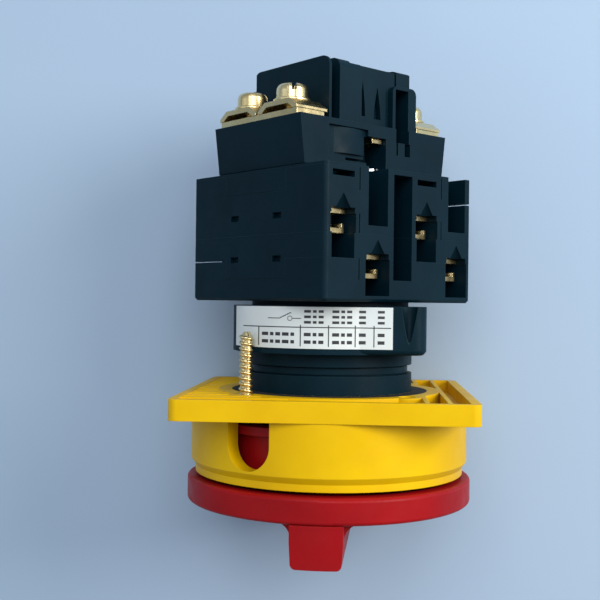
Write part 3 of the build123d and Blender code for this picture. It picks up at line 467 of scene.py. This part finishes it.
def carve(piece: bpy.types.Object, cutters: Sequence[bpy.types.Object]) -> None:
    """Cut solids out of a piece and remove them.

    Args:
        piece: the piece that is cut.
        cutters: the solids that are taken away.
    """
    for cutter in cutters:
        modifier = piece.modifiers.new("carve", "BOOLEAN")
        modifier.operation = "DIFFERENCE"
        modifier.solver = "EXACT"
        modifier.object = cutter
        bpy.context.view_layer.update()
        graph = bpy.context.evaluated_depsgraph_get()
        mesh = bpy.data.meshes.new_from_object(piece.evaluated_get(graph))
        piece.modifiers.remove(modifier)
        piece.data = mesh
        bpy.data.objects.remove(cutter)


def bake_tree(name: str, source: bpy.types.Object, tree: bpy.types.NodeTree,
              values: dict[str, Any]) -> bpy.types.Object:
    """Run a geometry tree on an object and keep the result as a plain mesh.

    Args:
        name: name of the finished piece.
        source: object that the tree works on, removed afterwards.
        tree: the geometry tree.
        values: the tree's inputs by name.

    Returns:
        The finished piece.
    """
    modifier = source.modifiers.new(name, "NODES")
    modifier.node_group = tree
    for item in tree.interface.items_tree:
        if item.item_type == "SOCKET" and item.in_out == "INPUT" and item.name in values:
            modifier[item.identifier] = values[item.name]
    bpy.context.view_layer.update()
    graph = bpy.context.evaluated_depsgraph_get()
    mesh = bpy.data.meshes.new_from_object(source.evaluated_get(graph))
    source.modifiers.remove(modifier)
    mesh.name = name
    piece = bpy.data.objects.new(name, mesh)
    bpy.context.collection.objects.link(piece)
    bpy.data.objects.remove(source)
    return piece


def new_tree(name: str, inputs: Iterable[tuple[str, str]]) -> tuple[Graph, bpy.types.Node, bpy.types.Node]:
    """Start a geometry tree.

    Args:
        name: name of the tree.
        inputs: (name, socket type) of each input after the geometry.

    Returns:
        The graph, its input node and its output node.
    """
    tree = bpy.data.node_groups.new(name, "GeometryNodeTree")
    tree.interface.new_socket("Geometry", in_out="INPUT", socket_type="NodeSocketGeometry")
    for label, kind in inputs:
        tree.interface.new_socket(label, in_out="INPUT", socket_type=kind)
    tree.interface.new_socket("Geometry", in_out="OUTPUT", socket_type="NodeSocketGeometry")
    graph = Graph(tree)
    return graph, graph.add("NodeGroupInput"), graph.add("NodeGroupOutput")


def close_tree(graph: Graph, result: bpy.types.NodeSocket, material: Any, out: bpy.types.Node) -> None:
    """End a tree in real geometry with its material set.

    Args:
        graph: the tree's nodes.
        result: socket of the geometry.
        material: the material, or the socket that gives it.
        out: the tree's output node.
    """
    real = graph.add("GeometryNodeRealizeInstances", Geometry=result).outputs[0]
    dressed = graph.add("GeometryNodeSetMaterial", Geometry=real, Material=material).outputs[0]
    graph.tree.links.new(dressed, out.inputs[0])


# ---------------------------------------------------------------- screws of the block and rear unit
@dataclass
class HeadedScrews:
    """Pan-head screws with a straight slot, a short cross slot and a ridged shank.

    Args:
        name: name of the finished piece.
        node: CAD node that the screws stand for.
        places: places of the screws in the block's own square frame.
        turns: turn of each head in degrees.
        head_radius: radius of the head.
        head_height: height of the head, without its flange.
        flange_radius: radius of the captive flange, or 0 for none.
        flange_height: height of the flange.
        shank_radius: outside radius of the shank's ridges.
        pitch: distance between the ridges.
        slot_width: width of the driver slots.
        slot_depth: depth of the driver slots.
        cross_reach: half length of the short cross slot, or 0 for none.
    """

    name: str
    node: str
    places: tuple[tuple[float, float], ...]
    turns: tuple[float, ...]
    head_radius: float
    head_height: float
    flange_radius: float
    flange_height: float
    shank_radius: float
    pitch: float
    slot_width: float
    slot_depth: float
    cross_reach: float

    def profile(self, tip: float, top: float) -> list[tuple[float, float]]:
        """Half section of one screw.

        Args:
            tip: end of the shank.
            top: top of the head.

        Returns:
            (radius, place along the shaft) pairs from tip to top.
        """
        core_share, tip_share, dome_share, flat_share, edge_share = 0.8, 0.8, 0.45, 0.72, 0.25
        ridge_start, ridge_half, dome_steps = 0.4, 0.4, 5
        seat = top - self.head_height - self.flange_height
        core = self.shank_radius * core_share
        line = [(0.0, tip), (core * tip_share, tip)]
        ridges = int((seat - tip) / self.pitch) - 1
        for index in range(ridges):
            along = tip + self.pitch * (index + ridge_start)
            line += [(core, along), (self.shank_radius, along + self.pitch * ridge_half),
                     (core, along + self.pitch * ridge_half * 2)]
        line.append((core, seat))
        if self.flange_radius:
            edge = self.flange_height * edge_share
            line += [(self.flange_radius - edge, seat), (self.flange_radius, seat + edge),
                     (self.flange_radius, seat + self.flange_height - edge),
                     (self.flange_radius - edge, seat + self.flange_height)]
        base = seat + self.flange_height
        dome = self.head_height * dome_share
        line += [(self.head_radius, base), (self.head_radius, top - dome)]
        for step in range(1, dome_steps + 1):
            angle = math.pi / 2 * step / dome_steps
            line.append((self.head_radius * (flat_share + (1 - flat_share) * math.cos(angle)),
                         top - dome * (1 - math.sin(angle))))
        line.append((0.0, top))
        return line

    def pattern(self, tip: float, top: float) -> bpy.types.Object:
        """One screw on the shaft's axis, with its slots cut.

        Args:
            tip: end of the shank.
            top: top of the head.

        Returns:
            The pattern screw.
        """
        work = bmesh.new()
        lathe(work, self.profile(tip, top), (0.0, 0.0, 0.0))
        screw = mesh_piece(self.name + "_pattern", work)
        reach = self.flange_radius + self.head_radius
        height = self.slot_depth * 2
        cutters = [bar_cutter((self.slot_width, height, reach), (0.0, top, 0.0))]
        if self.cross_reach:
            cutters.append(bar_cutter((self.cross_reach * 2, height, self.slot_width), (0.0, top, 0.0)))
        carve(screw, cutters)
        return screw

    def spread_tree(self) -> Graph:
        """Geometry tree that stands the pattern on every point, each with its own turn."""
        graph, given, out = new_tree(self.name + "_spread", (("Pattern", "NodeSocketObject"),
                                                             ("Material", "NodeSocketMaterial")))
        pattern = graph.add("GeometryNodeObjectInfo", Object=given.outputs["Pattern"])
        turn = graph.add("GeometryNodeInputNamedAttribute", {"data_type": "FLOAT"}, Name="turn")
        facing = graph.add("ShaderNodeCombineXYZ", Y=turn.outputs["Attribute"])
        spread = graph.add("GeometryNodeInstanceOnPoints", Points=given.outputs["Geometry"],
                           Instance=pattern.outputs["Geometry"], Rotation=facing.outputs[0])
        close_tree(graph, spread.outputs[0], given.outputs["Material"], out)
        return graph

    def build(self, wardrobe: Wardrobe) -> None:
        """Build the whole set as one piece.

        Args:
            wardrobe: maker of the materials.
        """
        low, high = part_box(self.node)
        screw = self.pattern(low.y, high.y)
        starts = bpy.data.meshes.new(self.name + "_places")
        starts.from_pydata([block_point(x, y, 0.0) for x, y in self.places], [], [])
        turns = starts.attributes.new("turn", "FLOAT", "POINT")
        for index, turn in enumerate(self.turns):
            turns.data[index].value = math.radians(turn)
        source = bpy.data.objects.new(self.name + "_places", starts)
        bpy.context.collection.objects.link(source)
        finish = FINISHES[recorded_slot(self.node)]
        piece = bake_tree(self.name, source, self.spread_tree().tree,
                          {"Pattern": screw, "Material": wardrobe.get(finish)})
        bpy.data.objects.remove(screw)
        finish_piece(piece, Body.FIXED, [self.node])


def link_screw_set() -> HeadedScrews:
    """The four clamp screws of the rear unit."""
    places = ((-18.9 * MM, -7.1 * MM), (-18.9 * MM, 7.1 * MM), (18.9 * MM, -7.1 * MM), (18.9 * MM, 7.1 * MM))
    return HeadedScrews("link_screw_set", "link_screws", places, (12.0, 71.0, -28.0, 40.0),
                        head_radius=3.55 * MM, head_height=3.2 * MM, flange_radius=4.15 * MM,
                        flange_height=0.8 * MM, shank_radius=1.95 * MM, pitch=0.7 * MM,
                        slot_width=1.1 * MM, slot_depth=1.6 * MM, cross_reach=1.9 * MM)


def terminal_screw_set(stage: int) -> HeadedScrews:
    """The four terminal screws of one contact stage.

    Args:
        stage: 1 for the front stage and 2 for the rear one.

    Returns:
        The set of screws.
    """
    columns = (-7.9 * MM, 18.4 * MM) if stage == 1 else (-18.4 * MM, 7.9 * MM)
    places = tuple((x, y) for x in columns for y in (-17.8 * MM, 17.8 * MM))
    return HeadedScrews(f"terminal_screw_set_{stage}", f"terminal_screws_{stage}", places,
                        (20.0, -35.0, 64.0, 8.0), head_radius=2.7 * MM, head_height=2.2 * MM,
                        flange_radius=0.0, flange_height=0.0, shank_radius=1.5 * MM, pitch=0.5 * MM,
                        slot_width=0.8 * MM, slot_depth=1.0 * MM, cross_reach=0.0)


# ---------------------------------------------------------------- contact springs
@dataclass
class ContactSpring:
    """Coil spring that a lifting bridge squeezes against the chamber wall.

    Args:
        tag: stage and side, as in the names of the nodes and joints.
        inner: distance from the shaft to the end at the bridge.
        outer: distance from the shaft to the end at the wall.
        wire_radius: radius of the wire.
        turns: number of turns.
        travel: how far the bridge lifts; not used.
    """

    tag: str
    inner: float = 15.1 * MM
    outer: float = 20.9 * MM
    wire_radius: float = 0.25 * MM
    turns: float = 5.0
    travel: float = 2.0 * MM

    def coil_tree(self) -> Graph:
        """Geometry tree of the coil, turned to the slide and moved to its seat."""
        graph, given, out = new_tree("coil", (("Coil Radius", "NodeSocketFloat"),
                                              ("Wire Radius", "NodeSocketFloat"),
                                              ("Length", "NodeSocketFloat"),
                                              ("Turns", "NodeSocketFloat"),
                                              ("Facing", "NodeSocketVector"),
                                              ("Seat", "NodeSocketVector"),
                                              ("Material", "NodeSocketMaterial")))
        helix = graph.add("GeometryNodeCurveSpiral", Resolution=28, Rotations=given.outputs["Turns"],
                          Start_Radius=given.outputs["Coil Radius"],
                          End_Radius=given.outputs["Coil Radius"], Height=given.outputs["Length"])
        wire = graph.add("GeometryNodeCurvePrimitiveCircle", Resolution=10,
                         Radius=given.outputs["Wire Radius"])
        coil = graph.add("GeometryNodeCurveToMesh", Curve=helix.outputs[0],
                         Profile_Curve=wire.outputs[0], Fill_Caps=True)
        seated = graph.add("GeometryNodeTransform", Geometry=coil.outputs[0],
                           Translation=given.outputs["Seat"], Rotation=given.outputs["Facing"])
        close_tree(graph, seated.outputs[0], given.outputs["Material"], out)
        return graph

    def build(self, wardrobe: Wardrobe) -> None:
        """Build the coil and hang it on the fixed body.

        Args:
            wardrobe: maker of the materials.
        """
        node = "contact_spring_" + self.tag
        joint = next(j for j in frame["record"]["behaviour"]["joints"] if j["name"] == "lift_" + self.tag)
        way = Vector(joint["axis"]).normalized()
        low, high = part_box(node)
        level = Vector((0.0, (low.y + high.y) / 2, 0.0))
        length = self.outer - self.inner - 2 * self.wire_radius
        source = bpy.data.objects.new(node + "_start", bpy.data.meshes.new(node + "_start"))
        bpy.context.collection.objects.link(source)
        piece = bake_tree("coil_" + self.tag, source, self.coil_tree().tree, {
            "Coil Radius": (high.y - low.y) / 2 - self.wire_radius, "Wire Radius": self.wire_radius,
            "Length": length, "Turns": self.turns, "Facing": (0.0, math.atan2(way.x, way.z), 0.0),
            "Seat": tuple(level + way * (self.inner + self.wire_radius)),
            "Material": wardrobe.get(FINISHES[Slot.SPRING])})
        finish_piece(piece, Body.FIXED, [node])
        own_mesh(piece)


# ---------------------------------------------------------------- front
@dataclass
class PlateScrews:
    """The two self-tapping screws that stand out of the plate's back.

    Args:
        core_radius: radius under the thread.
        thread_radius: outside radius of the thread.
        pitch: thread pitch.
        head_radius: radius of the head.
        slot_width: width of the driver slot.
        slot_depth: depth of the driver slot.
    """

    core_radius: float = 1.33 * MM
    thread_radius: float = 1.73 * MM
    pitch: float = 1.3 * MM
    head_radius: float = 3.3 * MM
    slot_width: float = 1.0 * MM
    slot_depth: float = 0.9 * MM

    def places(self) -> list[Point]:
        """Find where the screws' axes meet the plate's back, from the recorded fixing circle.

        Returns:
            One point for each screw.
        """
        mount = next(m for m in frame["record"]["mounts"] if m["name"] == "fixing_screws")
        reach = mount["dims"]["pcd_mm"] * MM / 2 / math.sqrt(2)
        return [(-reach, 0.0, reach), (reach, 0.0, -reach)]

    def thread_tree(self, length: float) -> Graph:
        """Geometry tree of a helical thread on every point of the source mesh.

        Args:
            length: threaded length; not used.

        Returns:
            The finished tree's graph.
        """
        graph, given, out = new_tree("thread", (("Core Radius", "NodeSocketFloat"),
                                                ("Thread Radius", "NodeSocketFloat"),
                                                ("Pitch", "NodeSocketFloat"),
                                                ("Length", "NodeSocketFloat"),
                                                ("Material", "NodeSocketMaterial")))
        turns = graph.math("DIVIDE", given.outputs["Length"], given.outputs["Pitch"])
        helix = graph.add("GeometryNodeCurveSpiral", Resolution=40, Rotations=turns,
                          Start_Radius=given.outputs["Core Radius"],
                          End_Radius=given.outputs["Core Radius"], Height=given.outputs["Length"])
        upright = graph.add("GeometryNodeSetCurveNormal", {"mode": "Z_UP"}, Curve=helix.outputs[0])
        depth = graph.math("SUBTRACT", given.outputs["Thread Radius"], given.outputs["Core Radius"])
        ridge = graph.add("GeometryNodeCurvePrimitiveCircle", Resolution=4, Radius=depth)
        thread = graph.add("GeometryNodeCurveToMesh", Curve=upright.outputs[0],
                           Profile_Curve=ridge.outputs[0], Fill_Caps=True)
        along_shaft = graph.add("GeometryNodeTransform", Geometry=thread.outputs[0],
                                Rotation=(-math.pi / 2, 0.0, 0.0))
        placed = graph.add("GeometryNodeInstanceOnPoints", Points=given.outputs["Geometry"],
                           Instance=along_shaft.outputs[0])
        close_tree(graph, placed.outputs[0], given.outputs["Material"], out)
        return graph

    def build(self, wardrobe: Wardrobe) -> None:
        """Build shanks, heads and threads as one piece.

        Args:
            wardrobe: maker of the materials.
        """
        low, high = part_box("plate_screws")
        head_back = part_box("plate_clip")[1].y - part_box("front_plate")[1].y
        brass = wardrobe.get(FINISHES[Slot.BRASS])
        points = bpy.data.meshes.new("thread_starts")
        start = head_back + self.pitch
        points.from_pydata([(x, start, z) for x, _, z in self.places()], [], [])
        source = bpy.data.objects.new("thread_starts", points)
        bpy.context.collection.objects.link(source)
        plain_tip = self.pitch * 0.8
        length = high.y - start - plain_tip
        tree = self.thread_tree(length).tree
        threads = bake_tree("screw_threads", source, tree, {
            "Core Radius": self.core_radius, "Thread Radius": self.thread_radius,
            "Pitch": self.pitch, "Length": length, "Material": brass})
        work = bmesh.new()
        for place in self.places():
            self.shank(work, place, low.y, head_back, high.y)
        shanks = mesh_piece("screw_shanks", work)
        reach = self.head_radius * 3
        carve(shanks, [bar_cutter((self.slot_width, self.slot_depth * 2, reach), (x, low.y, z))
                       for x, _, z in self.places()])
        work = bmesh.new()
        work.from_mesh(threads.data)
        work.from_mesh(shanks.data)
        bpy.data.objects.remove(threads)
        bpy.data.objects.remove(shanks)
        piece = mesh_piece("panel_screws", work)
        wardrobe.dress(piece, FINISHES[Slot.BRASS])
        finish_piece(piece, Body.FIXED, ["plate_screws"])

    def shank(self, work: bmesh.types.BMesh, place: Point, front: float, seat: float, tip: float) -> None:
        """Turn one shank and pan head.

        Args:
            work: mesh that takes the solid.
            place: point on the screw's axis.
            front: front of the head.
            seat: back of the head.
            tip: end of the blunt point.
        """
        blunt = self.core_radius * 0.8
        tip_radius = self.core_radius * 0.55
        round_over = self.head_radius * 0.15
        lathe(work, [(0.0, front), (self.head_radius - round_over, front),
                     (self.head_radius, front + round_over), (self.head_radius, seat),
                     (self.core_radius, seat), (self.core_radius, tip - blunt),
                     (tip_radius, tip), (0.0, tip)], place)


# ---------------------------------------------------------------- nameplate print
@dataclass
class NameplatePrint:
    """Ruled table, plain bars and a plain switch symbol on the nameplate.

    Args:
        lug_face: distance of the plate's flat end from the shaft.
        lift: height of the ink over the plate.
        rule: width of a ruled line.
        columns: places of the upright rules across the near side.
        table_level: share of the plate's height where the level rule runs.
        symbol_level: share of the plate's height where the symbol's leads run.
        plate_depth: thickness of the nameplate on the housing.
        patch_step: greatest width of one flat strip of a curved patch.
    """

    lug_face: float = 22.2 * MM
    lift: float = 0.03 * MM
    rule: float = 0.22 * MM
    columns: tuple[float, ...] = (-15.3 * MM, -5.6 * MM, 0.6 * MM, 6.4 * MM, 10.5 * MM)
    table_level: float = 0.51
    symbol_level: float = 0.72
    plate_depth: float = 0.2 * MM
    patch_step: float = 0.6 * MM

    def surface(self, across: float, lift: float) -> tuple[float, float]:
        """Point on the nameplate's outside.

        Args:
            across: place along +X.
            lift: height over the plate.

        Returns:
            x and z of the point.
        """
        low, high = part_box("index_housing")
        radius = (high.x - low.x) / 2 + self.plate_depth
        meet = math.sqrt(radius * radius - self.lug_face * self.lug_face)
        if across > meet:
            return across, self.lug_face + lift
        angle = math.asin(max(-1.0, across / radius))
        return (radius + lift) * math.sin(angle), (radius + lift) * math.cos(angle)

    def patch(self, work: bmesh.types.BMesh, across: tuple[float, float], along: tuple[float, float]) -> None:
        """Thin closed patch of ink that follows the plate.

        Args:
            work: mesh that takes the patch.
            across: limits along +X.
            along: limits along the shaft.
        """
        steps = max(1, int(abs(across[1] - across[0]) / self.patch_step))
        columns = []
        for index in range(steps + 1):
            x = across[0] + (across[1] - across[0]) * index / steps
            under = self.surface(x, -self.lift / 3)
            over = self.surface(x, self.lift)
            columns.append([work.verts.new((under[0], along[0], under[1])),
                            work.verts.new((over[0], along[0], over[1])),
                            work.verts.new((over[0], along[1], over[1])),
                            work.verts.new((under[0], along[1], under[1]))])
        for left, right in zip(columns, columns[1:]):
            for index in range(4):
                after = (index + 1) % 4
                work.faces.new((left[index], left[after], right[after], right[index]))
        work.faces.new(columns[0])
        work.faces.new(list(reversed(columns[-1])))

    def rules(self, work: bmesh.types.BMesh, low: Vector, high: Vector) -> None:
        """Draw the level and upright rules of the table.

        Args:
            work: mesh that takes the rules.
            low: lowest corner of the plate's box.
            high: highest corner of the plate's box.
        """
        left_margin, right_margin, foot, overshoot = 2.2 * MM, 0.4 * MM, 0.5 * MM, 0.5 * MM
        level = low.y + (high.y - low.y) * self.table_level
        half = self.rule / 2
        self.patch(work, (low.x + left_margin, high.x - right_margin), (level - half, level + half))
        for index, x in enumerate(self.columns):
            rise = 0.0 if index == 0 else overshoot
            self.patch(work, (x - half, x + half), (low.y + foot, level + rise))

    def bars(self, work: bmesh.types.BMesh, low: Vector, high: Vector) -> None:
        """Draw rows of short plain bars: two under the level rule and three over it.

        Args:
            work: mesh that takes the bars.
            low: lowest corner of the plate's box.
            high: highest corner of the plate's box.
        """
        height = high.y - low.y
        filled, left_pad, right_pad, edge_pad = 0.62, 0.8 * MM, 0.7 * MM, 0.6 * MM
        # share of the height, share that a row takes, first column that it fills
        rows = ((0.16, 0.13, 0), (0.34, 0.13, 0), (0.63, 0.10, 1), (0.76, 0.10, 1), (0.89, 0.10, 1))
        edges = (*self.columns, high.x - edge_pad)
        for level, size, start in rows:
            middle = low.y + height * level
            half = height * size / 2 * filled
            for left, right in zip(edges[start:], edges[start + 1:]):
                self.cell(work, left + left_pad, right - right_pad, (middle - half, middle + half))

    def cell(self, work: bmesh.types.BMesh, left: float, right: float, along: tuple[float, float]) -> None:
        """Fill one table cell with bars of uneven, repeating lengths.

        Args:
            work: mesh that takes the bars.
            left: left end of the cell.
            right: right end of the cell.
            along: limits of the bars along the shaft.
        """
        gap = 0.45 * MM
        x = left
        for length in cycle((1.5 * MM, 0.8 * MM, 1.1 * MM)):
            if x + length > right:
                break
            self.patch(work, (x, x + length), along)
            x += length + gap

    def symbol(self, work: bmesh.types.BMesh, low: Vector, high: Vector) -> None:
        """Draw a plain open contact: two level leads, a ring of dots and a slanted lever.

        Args:
            work: mesh that takes the symbol.
            low: lowest corner of the plate's box.
            high: highest corner of the plate's box.
        """
        lead, far_lead, end = 2.4 * MM, 5.6 * MM, 7.6 * MM
        lever_steps, lever_run, lever_rise, lever_width = 7, 0.42 * MM, 0.2 * MM, 0.5 * MM
        ring_dots, ring_place, ring_radius = 12, 5.1 * MM, 0.5 * MM
        level = low.y + (high.y - low.y) * self.symbol_level
        start = self.columns[0] + 2.2 * MM
        half = self.rule * 0.8 / 2
        self.patch(work, (start, start + lead), (level - half, level + half))
        self.patch(work, (start + far_lead, start + end), (level - half, level + half))
        for index in range(lever_steps):
            x = start + lead + index * lever_run
            y = level + index * lever_rise
            self.patch(work, (x, x + lever_width), (y - half, y + half))
        for index in range(ring_dots):
            angle = 2 * math.pi * index / ring_dots
            x = start + ring_place + ring_radius * math.cos(angle)
            y = level + ring_radius * math.sin(angle)
            self.patch(work, (x - half, x + half), (y - half, y + half))

    def build(self, wardrobe: Wardrobe) -> None:
        """Print the nameplate.

        Args:
            wardrobe: maker of the materials.
        """
        low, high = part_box("nameplate")
        work = bmesh.new()
        self.rules(work, low, high)
        self.bars(work, low, high)
        self.symbol(work, low, high)
        piece = mesh_piece("nameplate_print", work)
        wardrobe.dress(piece, INK)
        finish_piece(piece, Body.FIXED)


# ---------------------------------------------------------------- studio
@dataclass
class Studio:
    """Pale floor, soft lights and the camera.

    Args:
        camera_place: the camera's place.
        right: the picture's rightward direction.
        up: the picture's upward direction.
        lens: focal length in millimetres.
        sensor: width of the sensor in millimetres.
        floor_color: colour of the floor.
        floor_tint: colour that drifts through the floor's.
        floor_gap: distance of the floor below the switch.
        floor_reach: half side of the floor.
        sky_color: colour of the surround.
        sky_strength: its strength.
        aim: point that the lights face.
    """

    camera_place: Point = (0.008852, 0.020613, 0.237343)
    right: Point = (0.9976, 0.012, -0.0679)
    up: Point = (-0.012, 0.9999, 0.0038)
    lens: float = 58.93
    sensor: float = 36.0
    floor_color: Color = (0.34, 0.445, 0.58)
    floor_tint: Color = (0.37, 0.475, 0.60)
    floor_gap: float = 0.3 * MM
    floor_reach: float = 3.0
    sky_color: Color = (0.80, 0.88, 1.0)
    sky_strength: float = 0.40
    aim: Point = (0.0, 0.02, 0.0)

    def camera(self) -> None:
        """Place the camera."""
        made = bpy.data.cameras.new("view_camera")
        made.lens = self.lens
        made.sensor_width = self.sensor
        made.clip_start = 0.01
        piece = bpy.data.objects.new("view_camera", made)
        right = Vector(self.right).normalized()
        back = right.cross(Vector(self.up)).normalized()
        up = back.cross(right)
        turned = Matrix((right, up, back)).transposed().to_4x4()
        piece.matrix_world = Matrix.Translation(self.camera_place) @ turned
        bpy.context.collection.objects.link(piece)
        bpy.context.scene.camera = piece

    def floor(self) -> None:
        """Lay a wide plain floor just under the switch."""
        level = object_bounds()[0][2] - self.floor_gap
        reach = self.floor_reach
        mesh = bpy.data.meshes.new("studio_floor")
        mesh.from_pydata([(-reach, -reach, level), (reach, -reach, level), (reach, reach, level),
                          (-reach, reach, level)], [], [(0, 1, 2, 3)])
        piece = bpy.data.objects.new("studio_floor", mesh)
        bpy.context.collection.objects.link(piece)
        finish = Finish("pale_floor", self.floor_color, self.floor_tint, self.floor_color,
                        (0.7, 0.85), drift=4.0, grain_depth=0.00001, wear=0.0, specular=0.2)
        piece.data.materials.append(finish.material())
        piece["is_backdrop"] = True

    def light(self, name: str, place: Point, size: float, power: float, color: Color) -> None:
        """Hang one square soft light, aimed at the middle of the switch.

        Args:
            name: name of the light.
            place: where it hangs.
            size: side of its square.
            power: its power in watts.
            color: its colour.
        """
        made = bpy.data.lights.new(name, "AREA")
        made.size = size
        made.energy = power
        made.color = color
        piece = bpy.data.objects.new(name, made)
        aim = Vector(self.aim) - Vector(place)
        piece.matrix_world = Matrix.Translation(place) @ aim.to_track_quat("-Z", "Y").to_matrix().to_4x4()
        bpy.context.collection.objects.link(piece)

    def sky(self) -> None:
        """Set an even pale surround."""
        world = bpy.data.worlds.new("surround")
        world.use_nodes = True
        shade = world.node_tree.nodes["Background"]
        shade.inputs["Color"].default_value = (*self.sky_color, 1.0)
        shade.inputs["Strength"].default_value = self.sky_strength
        bpy.context.scene.world = world

    def build(self) -> None:
        """Build the whole studio."""
        self.camera()
        self.floor()
        self.sky()
        self.light("key_light", (0.46, 0.18, 0.30), 0.30, 3.1, (1.0, 0.97, 0.92))
        self.light("top_light", (0.02, 0.30, 0.55), 0.45, 2.3, (0.92, 0.96, 1.0))
        self.light("left_fill", (-0.50, 0.05, 0.35), 0.40, 0.35, (0.82, 0.90, 1.0))
        bpy.context.scene.view_settings.view_transform = "Standard"


def main() -> None:
    """Dress the frame, build the fine pieces and light the scene."""
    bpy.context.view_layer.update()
    studio = Studio()
    studio.build()
    wardrobe = Wardrobe()
    wardrobe.dress_frame()
    PlateScrews().build(wardrobe)
    link_screw_set().build(wardrobe)
    for stage in (1, 2):
        terminal_screw_set(stage).build(wardrobe)
    for tag in ("1a", "1b", "2a", "2b"):
        ContactSpring(tag).build(wardrobe)
    NameplatePrint().build(wardrobe)
    log.info("wrote the two boxes")


if __name__ == "__main__":
    main()
